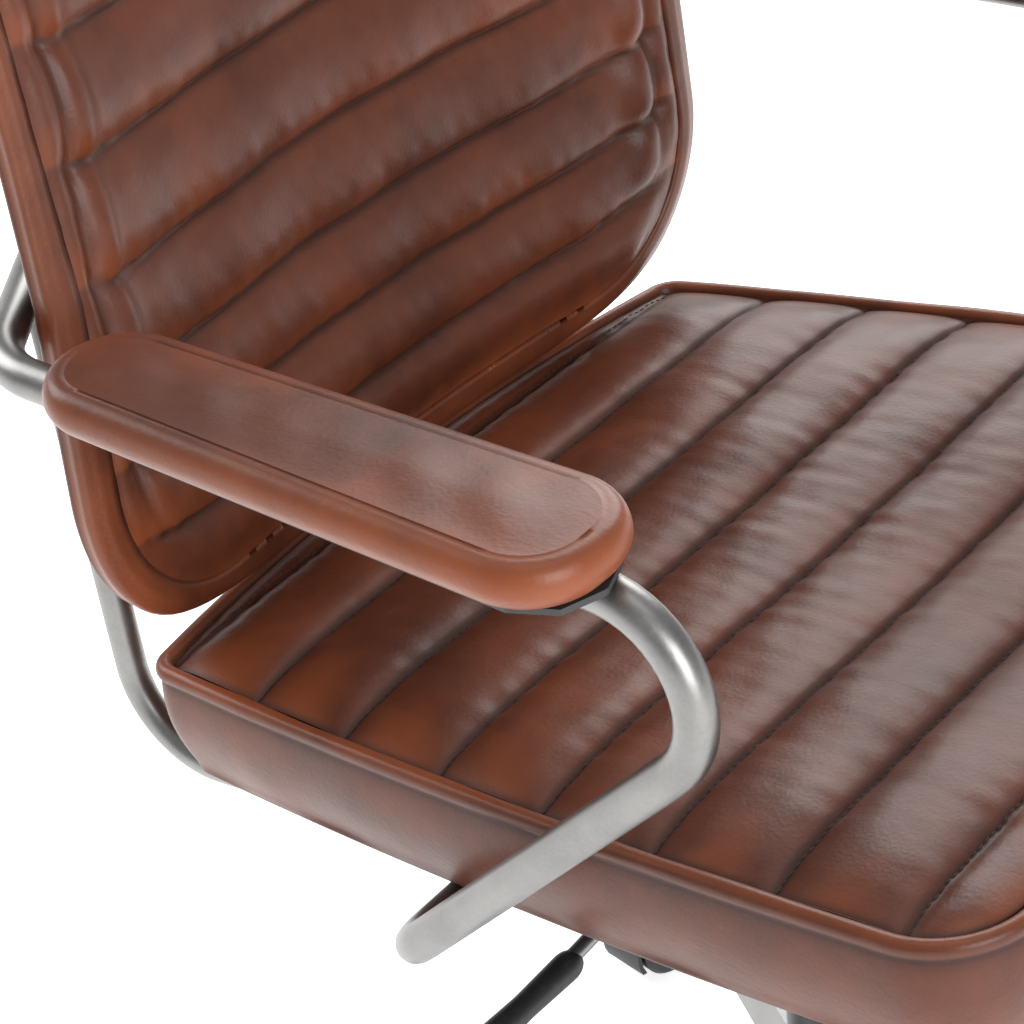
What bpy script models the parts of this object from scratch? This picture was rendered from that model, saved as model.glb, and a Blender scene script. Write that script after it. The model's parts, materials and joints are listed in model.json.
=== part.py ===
"""Swivel office chair, in metres, +Z up, facing -Y.

A channelled leather seat and back ride on a bent steel tube frame with padded arms. The
frame sits on a tilt mechanism, a gas lift and a five-star base on twin-wheel casters.
"""

import math

import bmesh
import bpy
from mathutils import Matrix, Vector

# Fits
touch_gap = 0.0003
running_gap = 0.0003
socket_gap = 0.0003

# Seat: its rear corners lie on the rear line, at the height of the piping
rear_line_height = 0.447
rear_line_to_column = 0.245
seat_slope = math.radians(5.3)
seat_depth = 0.505
seat_rear_half_width = 0.223
seat_flare = 0.150
seat_flare_easing = 0.1447
seat_rear_bulge = 0.020
seat_front_bulge = 0.012
seat_rear_corner = 0.018
seat_front_corner = 0.050
seat_crown = 0.008
seat_foam_height = 0.050
seat_side_tuck = 0.008
seat_board_thickness = 0.012
seat_board_inset = 0.012
dust_cover_thickness = 0.001
dust_cover_inset = 0.016

# Back
back_lift = 0.014
back_height = 0.449
back_recline = math.radians(8.0)
back_half_width = 0.248
back_top_narrowing = 0.016
back_bottom_corner = 0.100
back_top_corner = 0.055
back_edge_round = 0.012
back_sag_bottom = 0.022
back_sag_top = 0.046
back_sag_height = 0.200
back_front_offset = 0.006
back_cushion_thickness = 0.030
back_board_thickness = 0.006
back_board_inset = 0.020
back_panel_thickness = 0.006
back_panel_inset = 0.036
back_layer_gap = 0.0012

# Tube frame
arm_tube_radius = 0.0095
post_tube_radius = 0.0080
arm_run_height = 0.200
arm_rear_x = 0.272
arm_toe_out = math.radians(2.5)
arm_leg_y = -0.200
arm_leg_slope = math.radians(45.0)
arm_front_bend = 0.045
arm_lower_bend = 0.032
arm_rear_bend = 0.050
arm_rear_y = 0.003
cross_tube_half_length = 0.140
cross_bend_x = 0.165
cross_bend_radius = 0.030
post_x = 0.195
post_bottom_y = 0.036
post_bend = 0.050

# Arm pads
pad_rear_y = -0.062
pad_length = 0.310
pad_rear_half_width = 0.034
pad_front_half_width = 0.041
pad_corner = 0.030
pad_thickness = 0.0245
pad_offset = 0.012
pad_edge_round = 0.007
pad_plate_thickness = 0.003
pad_plate_inset = 0.010

# Seat plate and tilt mechanism, in column coordinates where nothing else is said
plate_thickness = 0.004
plate_half_width = 0.075
plate_front = 0.345
plate_rear = 0.150
plate_flange_height = 0.028
pivot_distance = 0.310
pivot_drop = 0.014
pin_radius = 0.005
tilt_limit = math.radians(12.0)
housing_half_width = 0.045
housing_wall = 0.003
housing_floor_height = 0.338
housing_floor_thickness = 0.004
housing_front_y = -0.098
housing_rear_y = 0.075
housing_clearance = 0.003
socket_radius = 0.024
socket_bottom = 0.318
socket_top = 0.366
spring_y = 0.048
spring_coil_radius = 0.0125
spring_wire_radius = 0.0022
spring_turns = 5
knob_y = -0.075
knob_radius = 0.020
knob_height = 0.030
knob_shank_radius = 0.004
knob_shank_length = 0.014
lever_radius = 0.004
lever_droop = math.radians(4.0)
lever_pin_gap = 0.0005
lever_reach = 0.235
lever_inner_reach = 0.008
lever_notch_half_width = 0.022
grip_radius = 0.0075
grip_length = 0.075
grip_reach = 0.282

# Gas lift
outer_tube_radius = 0.0250
outer_tube_wall = 0.0015
outer_tube_bottom = 0.078
outer_tube_top = 0.285
cylinder_radius = 0.0140
cylinder_bore = 0.0115
cylinder_bottom = 0.112
cylinder_top = 0.365
rod_radius = 0.0050
rod_top = 0.235
bearing_radius = 0.0150
bearing_height = 0.010
bush_height = 0.045
release_pin_radius = 0.0035
release_pin_top = 0.370
release_pin_length = 0.040

# Star base and casters
leg_count = 5
leg_reach = 0.285
hub_radius = 0.038
hub_bottom = 0.086
hub_top = 0.140
leg_root_width = 0.036
leg_root_height = 0.034
leg_root_z = 0.114
leg_tip_width = 0.026
leg_tip_height = 0.018
leg_tip_z = 0.088
boss_radius = 0.016
boss_bottom = 0.069
boss_top = 0.098
stem_radius = 0.0055
stem_bottom = 0.046
stem_top = 0.094
wheel_radius = 0.025
wheel_width = 0.014
wheel_hub_gap = 0.0125
wheel_trail = 0.022
axle_radius = 0.003
hood_wall = 0.003
hood_gap = 0.002
caster_boss_radius = 0.0105
caster_boss_top = 0.066
caster_heading = math.radians(115.0)

# Bolts
bolt_radius = 0.003
bolt_head_radius = 0.006
bolt_head_height = 0.004
plate_bolt_x = 0.058
plate_bolt_distances = (0.172, 0.325)
back_bolt_x = 0.090

# Values that follow from those above
seat_stack = seat_foam_height + seat_board_thickness + dust_cover_thickness + 2 * touch_gap
plate_top = seat_stack + touch_gap
plate_underside = plate_top + plate_thickness
pivot_y = (rear_line_to_column - pivot_distance * math.cos(seat_slope)
           - (plate_underside + pivot_drop) * math.sin(seat_slope))
pivot_z = (rear_line_height + pivot_distance * math.sin(seat_slope)
           - (plate_underside + pivot_drop) * math.cos(seat_slope))
lever_height = (release_pin_top + lever_pin_gap + lever_radius / math.cos(lever_droop)
                - (housing_half_width - release_pin_radius) * math.tan(lever_droop))
back_panel_front = (back_cushion_thickness - back_front_offset + back_board_thickness
                    + 2 * back_layer_gap)
back_rear_offset = back_panel_front + back_panel_thickness


def clear_scene():
    """Remove every object that the file opened with."""
    for item in list(bpy.data.objects):
        bpy.data.objects.remove(item, do_unlink=True)


def new_collection(name):
    """Make a collection and link it to the scene."""
    group = bpy.data.collections.new(name)
    bpy.context.scene.collection.children.link(group)
    return group


def material(name, color, roughness, metallic):
    """A plain Principled material."""
    made = bpy.data.materials.new(name)
    made.use_nodes = True
    shader = made.node_tree.nodes["Principled BSDF"]
    shader.inputs["Base Color"].default_value = (*color, 1.0)
    shader.inputs["Roughness"].default_value = roughness
    shader.inputs["Metallic"].default_value = metallic
    return made


def empty(name, parent=None, location=(0, 0, 0), rotation=(0, 0, 0)):
    """An axis or a reference frame."""
    frame = bpy.data.objects.new(name, None)
    frame.empty_display_size = 0.03
    frame.parent = parent
    frame.location = location
    frame.rotation_euler = rotation
    parts.objects.link(frame)
    return frame


def place(name, data, finish, parent, location=(0, 0, 0), rotation=(0, 0, 0)):
    """Put mesh or curve data in the scene as a named part."""
    part = bpy.data.objects.new(name, data)
    part.parent = parent
    part.location = location
    part.rotation_euler = rotation
    if not data.materials:
        data.materials.append(finish)
    parts.objects.link(part)
    return part


def as_cutter(part):
    """Move a helper solid to the cutters, out of the model."""
    parts.objects.unlink(part)
    cutters.objects.link(part)
    part.hide_render = True
    part.display_type = "WIRE"
    return part


def combine(part, helper, operation):
    """Cut or join a helper solid with the exact solver."""
    step = part.modifiers.new(operation.lower(), "BOOLEAN")
    step.operation = operation
    step.object = as_cutter(helper)
    return part


def smooth(data, angle=35.0):
    """Shade a mesh smooth with sharp edges above an angle in degrees."""
    data.shade_smooth()
    data.set_sharp_from_angle(angle=math.radians(angle))
    return data


def mesh_from(work, name):
    """Turn a bmesh into mesh data with outward faces."""
    work.normal_update()
    bmesh.ops.recalc_face_normals(work, faces=work.faces[:])
    data = bpy.data.meshes.new(name)
    work.to_mesh(data)
    work.free()
    return data


def turned(name, profile, finish, parent, location=(0, 0, 0), segments=24, closed=False,
           rotation=(0, 0, 0)):
    """A (radius, height) profile turned about Z; its outer side runs from top to bottom."""
    data = bpy.data.meshes.new(name)
    count = len(profile)
    edges = [(k, k + 1) for k in range(count - 1)]
    if closed:
        edges.append((count - 1, 0))
    data.from_pydata([(radius, 0.0, height) for radius, height in profile], edges, [])
    part = place(name, data, finish, parent, location, rotation)
    screw = part.modifiers.new("turn", "SCREW")
    screw.steps = segments
    screw.render_steps = segments
    screw.use_merge_vertices = True
    screw.merge_threshold = 0.00001
    screw.use_smooth_shade = True
    return part


def rod(name, radius, top, bottom, finish, parent, location=(0, 0, 0), segments=16,
        rotation=(0, 0, 0)):
    """A plain cylinder between two heights on its own Z axis."""
    profile = [(0.0, top), (radius, top), (radius, bottom), (0.0, bottom)]
    return turned(name, profile, finish, parent, location, segments, rotation=rotation)


def block(name, low, high, finish, parent, location=(0, 0, 0), rotation=(0, 0, 0)):
    """A box between two corners."""
    work = bmesh.new()
    bmesh.ops.create_cube(work, size=1.0)
    low, high = Vector(low), Vector(high)
    centre = (low + high) / 2
    size = high - low
    for vert in work.verts:
        vert.co = Vector(c + v * s for c, v, s in zip(centre, vert.co, size))
    return place(name, mesh_from(work, name), finish, parent, location, rotation)


def prism(name, outline, half_width, finish, parent):
    """A (y, z) outline extruded to both sides of the YZ plane."""
    work = bmesh.new()
    face = work.faces.new([work.verts.new((-half_width, y, z)) for y, z in outline])
    grown = bmesh.ops.extrude_face_region(work, geom=[face])
    moved = [item for item in grown["geom"] if isinstance(item, bmesh.types.BMVert)]
    bmesh.ops.translate(work, verts=moved, vec=(2 * half_width, 0, 0))
    return place(name, mesh_from(work, name), finish, parent)


def slab(name, columns, rows, layers, shape, finish, parent):
    """A closed grid of columns by rows by layers, each corner put in place by shape(u, v, w).

    u and v run from -1 to 1 over the face and w from 0 to 1 through the thickness.
    """
    work = bmesh.new()
    bmesh.ops.create_grid(work, x_segments=columns, y_segments=rows, size=1.0)
    grown = bmesh.ops.extrude_face_region(work, geom=work.faces[:])
    lifted = [item for item in grown["geom"] if isinstance(item, bmesh.types.BMVert)]
    bmesh.ops.translate(work, verts=lifted, vec=(0, 0, 1.0))
    for k in range(1, layers):
        everything = work.verts[:] + work.edges[:] + work.faces[:]
        bmesh.ops.bisect_plane(work, geom=everything, plane_co=(0, 0, k / layers),
                               plane_no=(0, 0, 1))
    for vert in work.verts:
        vert.co = shape(vert.co.x, vert.co.y, vert.co.z)
    return place(name, smooth(mesh_from(work, name)), finish, parent)


def rounded_path(corners, radii, steps=8):
    """A path through the corners with each inner one rounded to its radius."""
    corners = [Vector(corner) for corner in corners]
    points = [corners[0]]
    for before, corner, after, radius in zip(corners, corners[1:], corners[2:], radii):
        arrive = (corner - before).normalized()
        leave = (after - corner).normalized()
        turn = arrive.angle(leave)
        start = corner - arrive * radius * math.tan(turn / 2)
        centre = corner + (leave - arrive).normalized() * radius / math.cos(turn / 2)
        axis = arrive.cross(leave)
        count = max(3, round(steps * turn / (math.pi / 2)))
        for k in range(count + 1):
            turned_by = Matrix.Rotation(turn * k / count, 3, axis)
            points.append(centre + turned_by @ (start - centre))
    points.append(corners[-1])
    return points


def tube(name, points, radius, finish, parent, resolution=3):
    """A round bar or tube along a path, with capped ends."""
    data = bpy.data.curves.new(name, "CURVE")
    data.dimensions = "3D"
    data.bevel_depth = radius
    data.bevel_resolution = resolution
    data.use_fill_caps = True
    spline = data.splines.new("POLY")
    spline.points.add(len(points) - 1)
    for slot, point in zip(spline.points, points):
        slot.co = (*point, 1.0)
    return place(name, data, finish, parent)


def corner_cut(distance, radius):
    """How far a rounded corner draws the outline in, at a distance from the end."""
    if distance >= radius:
        return 0.0
    return radius - math.sqrt(max(0.0, radius ** 2 - (radius - distance) ** 2))


def eased(v):
    """Rows from 0 to 1, closer together towards both ends."""
    return 0.5 - 0.5 * math.cos(math.pi * (v + 1) / 2)


# Seat

def seat_half_width(distance):
    """Half width of the seat at a distance forward of its rear corners."""
    flared = seat_rear_half_width + seat_flare * distance - seat_flare_easing * distance ** 2
    front = corner_cut(seat_depth - distance, seat_front_corner)
    return flared - front - corner_cut(distance, seat_rear_corner)


def seat_point(u, v, inset):
    """Place on the seat's outline, u across and v from the rear to the front."""
    share = eased(v)
    distance = seat_depth * share
    x = u * (seat_half_width(distance) - inset)
    bow = 1 - u * u
    y = -distance + seat_rear_bulge * bow * max(0.0, 1 - 4 * share)
    y -= seat_front_bulge * bow * max(0.0, 4 * share - 3)
    return x, y + inset * (2 * share - 1)


def seat_layer(top, bottom, inset, crown=0.0, tuck=0.0):
    """A shape function for one layer of the seat, between two depths below the piping."""
    def shape(u, v, w):
        x, y = seat_point(u, v, inset + tuck * (1 - w))
        swell = crown * w * (1 - u ** 4) * (1 - v ** 4)
        return x, y, -bottom + (bottom - top) * w + swell
    return shape


def make_seat(slope):
    """The cushion, the board under it and the cloth that closes its underside."""
    board_top = seat_foam_height + touch_gap
    cover_top = board_top + seat_board_thickness + touch_gap
    slab("seat_cushion", 12, 12, 2,
         seat_layer(0.0, seat_foam_height, 0.0, seat_crown, seat_side_tuck), leather, slope)
    board = slab("seat_board", 2, 12, 1,
                 seat_layer(board_top, board_top + seat_board_thickness, seat_board_inset),
                 plywood, slope)
    cover = slab("seat_dust_cover", 2, 12, 1,
                 seat_layer(cover_top, seat_stack, dust_cover_inset), black_cloth, slope)
    for part in (board, cover):
        for x, distance in plate_bolt_places():
            hole = rod("bolt_hole", bolt_radius + running_gap, 0.0, -2 * seat_stack,
                       steel, slope, (x, -distance, 0.0), 12)
            combine(part, hole, "DIFFERENCE")


def plate_bolt_places():
    """The four bolts that hold the seat board to the seat plate."""
    return [(side * plate_bolt_x, distance)
            for side in (-1, 1) for distance in plate_bolt_distances]


def make_seat_plate(slope, lift):
    """A flanged steel plate under the board, with holes for its bolts and the pivot pin."""
    plate = block("seat_plate", (-plate_half_width, -plate_front, -plate_underside),
                  (plate_half_width, -plate_rear, -plate_top), black_steel, slope)
    for side in (-1, 1):
        inner = side * (plate_half_width - plate_thickness)
        outer = side * plate_half_width
        flange = block("flange", (min(inner, outer), -plate_front, -plate_top - plate_flange_height),
                       (max(inner, outer), -plate_rear, -plate_top - plate_thickness / 2),
                       black_steel, slope)
        combine(plate, flange, "UNION")
    for x, distance in plate_bolt_places():
        hole = rod("bolt_hole", bolt_radius + running_gap, 0.0, -2 * seat_stack,
                   steel, slope, (x, -distance, 0.0), 12)
        combine(plate, hole, "DIFFERENCE")
    pin_hole = rod("pin_hole", pin_radius + running_gap, 0.2, -0.2, steel, slope,
                   (0, -pivot_distance, -plate_underside - pivot_drop),
                   rotation=(0, math.pi / 2, 0))
    combine(plate, pin_hole, "DIFFERENCE")
    notch_drop = -pivot_y * math.sin(tilt_limit)
    notch = block("lever_notch", (-plate_half_width - 0.01, -lever_notch_half_width, 0.3),
                  (-plate_half_width + 2 * plate_thickness, lever_notch_half_width,
                   lever_height + lever_radius + notch_drop + 0.003), black_steel, lift)
    combine(plate, notch, "DIFFERENCE")
    for index, (x, distance) in enumerate(plate_bolt_places(), 1):
        head_top = -plate_underside - touch_gap
        profile = [(0.0, -seat_foam_height - 2 * touch_gap),
                   (bolt_radius, -seat_foam_height - 2 * touch_gap), (bolt_radius, head_top),
                   (bolt_head_radius, head_top), (bolt_head_radius, head_top - bolt_head_height),
                   (0.0, head_top - bolt_head_height)]
        turned(f"seat_bolt_{index}", profile, steel, slope, (x, -distance, 0.0), 6)


# Back

def back_sag(height):
    """How far the wings come forward of the middle, at a height above the rear line."""
    share = min(1.0, max(0.0, (height - back_lift) / back_sag_height))
    return back_sag_bottom + (back_sag_top - back_sag_bottom) * share


def back_middle(x, height):
    """Depth of the back's reference surface at a place across and a height."""
    lean = (height - back_lift) * math.tan(back_recline)
    return lean - back_sag(height) * (x / back_half_width) ** 2


def back_width_at(height):
    """Half width of the back at a height."""
    share = (height - back_lift) / back_height
    ends = (corner_cut(height - back_lift, back_bottom_corner)
            + corner_cut(back_lift + back_height - height, back_top_corner))
    return back_half_width - back_top_narrowing * share - ends


def back_layer(front, rear, inset, edge_round=0.0):
    """A shape function for one layer of the back, between two depths from the middle."""
    def shape(u, v, w):
        drawn_in = inset + edge_round * (2 * w - 1) ** 2
        height = back_lift + back_height * eased(v)
        x = u * (back_width_at(height) - drawn_in)
        height += drawn_in * (1 - 2 * eased(v))
        return x, back_middle(x, height) + front + (rear - front) * w, height
    return shape


def make_back(line):
    """Front cushion, curved board and rear panel, held to the cross tube by two bolts."""
    board_front = back_cushion_thickness - back_front_offset + back_layer_gap
    slab("back_cushion", 12, 12, 2,
         back_layer(-back_front_offset, back_cushion_thickness - back_front_offset, 0.0,
                    back_edge_round), leather, line)
    board = slab("back_board", 12, 10, 1,
                 back_layer(board_front, board_front + back_board_thickness, back_board_inset),
                 plywood, line)
    panel = slab("back_rear_panel", 12, 10, 1,
                 back_layer(back_panel_front, back_rear_offset, back_panel_inset), leather, line)
    for side, name in ((-1, "right"), (1, "left")):
        spot = (side * back_bolt_x, 0.0, arm_run_height)
        for part in (board, panel):
            hole = rod("back_bolt_hole", bolt_radius + running_gap, 0.2,
                       -board_front - back_middle(back_bolt_x, arm_run_height) - 0.2, steel,
                       line, spot, 12, (math.pi / 2, 0, 0))
            combine(part, hole, "DIFFERENCE")
        inner = back_middle(back_bolt_x, arm_run_height) + board_front + touch_gap
        outer = cross_tube_y() + arm_tube_radius + touch_gap
        profile = [(0.0, outer + bolt_head_height), (bolt_head_radius, outer + bolt_head_height),
                   (bolt_head_radius, outer), (bolt_radius, outer), (bolt_radius, inner),
                   (0.0, inner)]
        turned(f"back_bolt_{name}", profile, steel, line, spot, 12,
               rotation=(-math.pi / 2, 0, 0))


# Tube frame and arms

def under_seat(y, radius):
    """Height of a tube's centre where it runs against the seat's underside."""
    return -y * math.tan(seat_slope) - (seat_stack + touch_gap + radius) / math.cos(seat_slope)


def arm_x(y):
    """Half distance between the arms' centre planes at a place behind the rear line."""
    return arm_rear_x - y * math.tan(arm_toe_out)


def cross_tube_y():
    """Depth of the tube that crosses behind the back."""
    return (back_middle(0.0, arm_run_height) + back_rear_offset + arm_tube_radius
            + touch_gap / math.cos(back_recline) + arm_tube_radius * (1 / math.cos(back_recline) - 1))


def arm_corners(side):
    """Corners of one arm tube, from the seat plate to the cross tube behind the back."""
    leg_z = under_seat(arm_leg_y, arm_tube_radius)
    front_y = arm_leg_y - (arm_run_height - leg_z) / math.tan(arm_leg_slope)
    return [(side * (plate_half_width + touch_gap), arm_leg_y, leg_z),
            (side * arm_x(arm_leg_y), arm_leg_y, leg_z),
            (side * arm_x(front_y), front_y, arm_run_height),
            (side * arm_x(arm_rear_y), arm_rear_y, arm_run_height),
            (side * cross_bend_x, cross_tube_y(), arm_run_height),
            (side * (cross_tube_half_length + touch_gap), cross_tube_y(), arm_run_height)]


def post_top(side):
    """Where a rear post meets the underside of its arm tube."""
    near, far = arm_corners(side)[3:5]
    share = (abs(near[0]) - post_x) / (abs(near[0]) - abs(far[0]))
    y = near[1] + (far[1] - near[1]) * share
    return side * post_x, y, arm_run_height - arm_tube_radius - touch_gap


def make_frame(line):
    """Two arm tubes, the two rear posts and the tube that joins them behind the back."""
    arm_radii = (arm_lower_bend, arm_front_bend, arm_rear_bend, cross_bend_radius)
    for side, name in ((-1, "right"), (1, "left")):
        path = rounded_path(arm_corners(side), arm_radii)
        tube(f"arm_tube_{name}", path, arm_tube_radius, gunmetal, line)
        post_end = arm_leg_y + arm_tube_radius + touch_gap
        corners = [post_top(side),
                   (side * post_x, post_bottom_y, under_seat(post_bottom_y, post_tube_radius)),
                   (side * post_x, post_end, under_seat(post_end, post_tube_radius))]
        tube(f"back_post_{name}", rounded_path(corners, (post_bend,)), post_tube_radius,
             gunmetal, line)
    cross = rod("back_cross_tube", arm_tube_radius, cross_tube_half_length,
                -cross_tube_half_length, gunmetal, line, (0, cross_tube_y(), arm_run_height),
                12, (0, math.pi / 2, 0))
    for side in (-1, 1):
        hole = rod("cross_hole", bolt_radius + running_gap, 0.2, -0.2, steel, line,
                   (side * back_bolt_x, 0.0, arm_run_height), 12, (math.pi / 2, 0, 0))
        combine(cross, hole, "DIFFERENCE")


def pad_layer(side, bottom, top, inset, edge_round=0.0):
    """A shape function for one layer of an arm pad, rounded at both ends."""
    def shape(u, v, w):
        drawn_in = inset + edge_round * (2 * w - 1) ** 2
        share = eased(v)
        distance = pad_length * share
        width = pad_rear_half_width + (pad_front_half_width - pad_rear_half_width) * share
        width -= corner_cut(distance, pad_corner) + corner_cut(pad_length - distance, pad_corner)
        y = pad_rear_y - distance + drawn_in * (2 * share - 1)
        middle = arm_x(y) + pad_offset
        return side * (middle + u * (width - drawn_in)), y, bottom + (top - bottom) * w
    return shape


def make_pads(line):
    """Each arm pad and the steel plate that carries it on the tube."""
    plate_bottom = arm_run_height + arm_tube_radius + touch_gap
    pad_bottom = plate_bottom + pad_plate_thickness + touch_gap
    for side, name in ((-1, "right"), (1, "left")):
        slab(f"arm_pad_{name}", 4, 10, 2,
             pad_layer(side, pad_bottom, pad_bottom + pad_thickness, 0.0, pad_edge_round),
             leather, line)
        slab(f"arm_pad_plate_{name}", 2, 10, 1,
             pad_layer(side, plate_bottom, plate_bottom + pad_plate_thickness, pad_plate_inset),
             black_steel, line)


# Tilt mechanism

def plate_underside_tilted(y):
    """Height of the seat plate's underside above a place, with the seat leant right back."""
    lean = seat_slope + tilt_limit
    return pivot_z + pivot_drop / math.cos(lean) - (y - pivot_y) * math.tan(lean)


def make_housing(lift):
    """An open pan with a socket for the gas cylinder and holes for pin, knob and lever."""
    wall_top = pivot_z + pivot_drop - housing_clearance
    bend_y = pivot_y + (plate_underside_tilted(pivot_y) - housing_clearance - wall_top) \
        / math.tan(seat_slope + tilt_limit)
    rear_top = plate_underside_tilted(housing_rear_y) - housing_clearance
    outline = [(housing_front_y, housing_floor_height), (housing_rear_y, housing_floor_height),
               (housing_rear_y, rear_top), (bend_y, wall_top), (housing_front_y, wall_top)]
    housing = prism("mechanism_housing", outline, housing_half_width, black_steel, lift)
    pocket_floor = housing_floor_height + housing_floor_thickness
    pocket = block("pocket", (housing_wall - housing_half_width, housing_front_y + housing_wall,
                              pocket_floor),
                   (housing_half_width - housing_wall, housing_rear_y - housing_wall,
                    wall_top + 0.02), black_steel, lift)
    combine(housing, pocket, "DIFFERENCE")
    boss = rod("socket_boss", socket_radius, socket_top, socket_bottom, black_steel, lift,
               segments=24)
    combine(housing, boss, "UNION")
    bore = rod("socket_bore", cylinder_radius + socket_gap, socket_top + 0.01,
               socket_bottom - 0.01, black_steel, lift, segments=24)
    combine(housing, bore, "DIFFERENCE")
    pin_hole = rod("housing_pin_hole", pin_radius + running_gap, 0.2, -0.2, steel, lift,
                   (0, pivot_y, pivot_z), rotation=(0, math.pi / 2, 0))
    combine(housing, pin_hole, "DIFFERENCE")
    lever_hole = rod("lever_hole", lever_radius + 0.0015, 2 * housing_wall, -2 * housing_wall,
                     steel, lift, (-housing_half_width, 0, lever_height), 12,
                     (0, math.pi / 2 - lever_droop, 0))
    combine(housing, lever_hole, "DIFFERENCE")
    knob_hole = rod("knob_hole", knob_shank_radius + running_gap, pocket_floor + 0.01,
                    housing_floor_height - 0.01, steel, lift, (0, knob_y, 0), 12)
    combine(housing, knob_hole, "DIFFERENCE")


def make_pin_and_spring(lift):
    """The pivot pin through housing and plate, and the coil that holds the seat up."""
    length = plate_half_width + 0.004
    rod("tilt_pivot_pin", pin_radius, length, -length, steel, lift, (0, pivot_y, pivot_z),
        rotation=(0, math.pi / 2, 0))
    bottom = housing_floor_height + housing_floor_thickness + touch_gap + spring_wire_radius
    top = (pivot_z + pivot_drop / math.cos(seat_slope)
           - (spring_y + spring_coil_radius - pivot_y) * math.tan(seat_slope)
           - 2 * spring_wire_radius)
    per_turn = 10
    count = spring_turns * per_turn
    coil = []
    for k in range(count + 1):
        angle = 2 * math.pi * k / per_turn
        coil.append((spring_coil_radius * math.cos(angle),
                     spring_y + spring_coil_radius * math.sin(angle),
                     bottom + (top - bottom) * k / count))
    tube("tilt_spring", coil, spring_wire_radius, steel, lift, resolution=1)


def make_controls(lift):
    """Height lever with its grip, the release pin it presses, and the tension knob."""
    knob_axis = empty("knob_axis", lift, (0, knob_y, housing_floor_height))
    top = -touch_gap
    profile = [(0.0, knob_shank_length), (knob_shank_radius, knob_shank_length),
               (knob_shank_radius, top), (knob_radius * 0.7, top),
               (knob_radius, top - 0.006), (knob_radius, top - knob_height + 0.004),
               (knob_radius - 0.004, top - knob_height), (0.0, top - knob_height)]
    turned("tension_knob", profile, black_plastic, knob_axis, segments=18)
    lever_axis = empty("lever_axis", lift, (-housing_half_width, 0, lever_height),
                       (0, -lever_droop, 0))
    inner = housing_half_width + lever_inner_reach
    rod("height_lever", lever_radius, inner, housing_half_width - lever_reach, gunmetal,
        lever_axis, segments=12, rotation=(0, math.pi / 2, 0))
    start = housing_half_width - grip_reach + grip_length
    end = housing_half_width - grip_reach
    rod_end = housing_half_width - lever_reach - touch_gap
    bore = lever_radius + touch_gap
    profile = [(bore, start), (grip_radius - 0.001, start), (grip_radius, start - 0.004),
               (grip_radius, end + 0.003), (grip_radius - 0.003, end), (0.0, end),
               (0.0, rod_end), (bore, rod_end)]
    turned("lever_grip", profile, black_plastic, lever_axis, segments=12, closed=True,
           rotation=(0, math.pi / 2, 0))
    pin_axis = empty("release_pin_axis", lift)
    rod("release_pin", release_pin_radius, release_pin_top,
        release_pin_top - release_pin_length, steel, pin_axis, segments=12)


# Gas lift

def make_column(chair, swivel, lift):
    """Outer tube and guide bush, rod on its thrust bearing, and the sliding cylinder."""
    inner = outer_tube_radius - outer_tube_wall
    rod_hole = rod_radius + running_gap
    floor_top = outer_tube_bottom + outer_tube_wall
    tube_profile = [(rod_hole, outer_tube_bottom), (rod_hole, floor_top), (inner, floor_top),
                    (inner, outer_tube_top), (outer_tube_radius, outer_tube_top),
                    (outer_tube_radius, outer_tube_bottom)]
    turned("column_outer_tube", tube_profile, black_steel, chair, closed=True)
    bush_outer = inner - touch_gap
    bush_inner = cylinder_radius + running_gap
    bush_bottom = outer_tube_top - bush_height
    turned("column_guide_bush",
           [(bush_outer, outer_tube_top), (bush_outer, bush_bottom), (bush_inner, bush_bottom),
            (bush_inner, outer_tube_top)], black_plastic, chair, closed=True)
    bearing_bottom = floor_top + touch_gap
    turned("thrust_bearing",
           [(bearing_radius, bearing_bottom + bearing_height), (bearing_radius, bearing_bottom),
            (rod_hole, bearing_bottom), (rod_hole, bearing_bottom + bearing_height)],
           steel, swivel, segments=18, closed=True)
    rod("piston_rod", rod_radius, rod_top, outer_tube_bottom - 0.004, chrome, swivel,
        segments=12)
    pin_hole = release_pin_radius + running_gap
    roof = 0.012
    bore_profile = [(pin_hole, cylinder_top), (cylinder_radius, cylinder_top),
                    (cylinder_radius, cylinder_bottom), (rod_hole, cylinder_bottom),
                    (rod_hole, cylinder_bottom + roof), (cylinder_bore, cylinder_bottom + roof),
                    (cylinder_bore, cylinder_top - roof), (pin_hole, cylinder_top - roof)]
    turned("gas_cylinder", bore_profile, chrome, lift, closed=True)


# Base and casters

def leg_angles():
    """Directions of the legs, with one straight ahead."""
    return [-math.pi / 2 + 2 * math.pi * k / leg_count for k in range(leg_count)]


def tapered_leg(angle, parent):
    """A bar that narrows from the hub to the caster boss."""
    work = bmesh.new()
    bmesh.ops.create_cube(work, size=1.0)
    start = hub_radius * 0.8
    for vert in work.verts:
        far = vert.co.x > 0
        width = leg_tip_width if far else leg_root_width
        height = leg_tip_height if far else leg_root_height
        middle = leg_tip_z if far else leg_root_z
        narrowed = 0.72 if vert.co.z > 0 else 1.0
        vert.co = (leg_reach - boss_radius * 0.6 if far else start, vert.co.y * width * narrowed,
                   middle + vert.co.z * height)
    bmesh.ops.rotate(work, verts=work.verts[:], matrix=Matrix.Rotation(angle, 3, "Z"))
    return place("leg", mesh_from(work, "leg"), gunmetal, parent)


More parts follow.
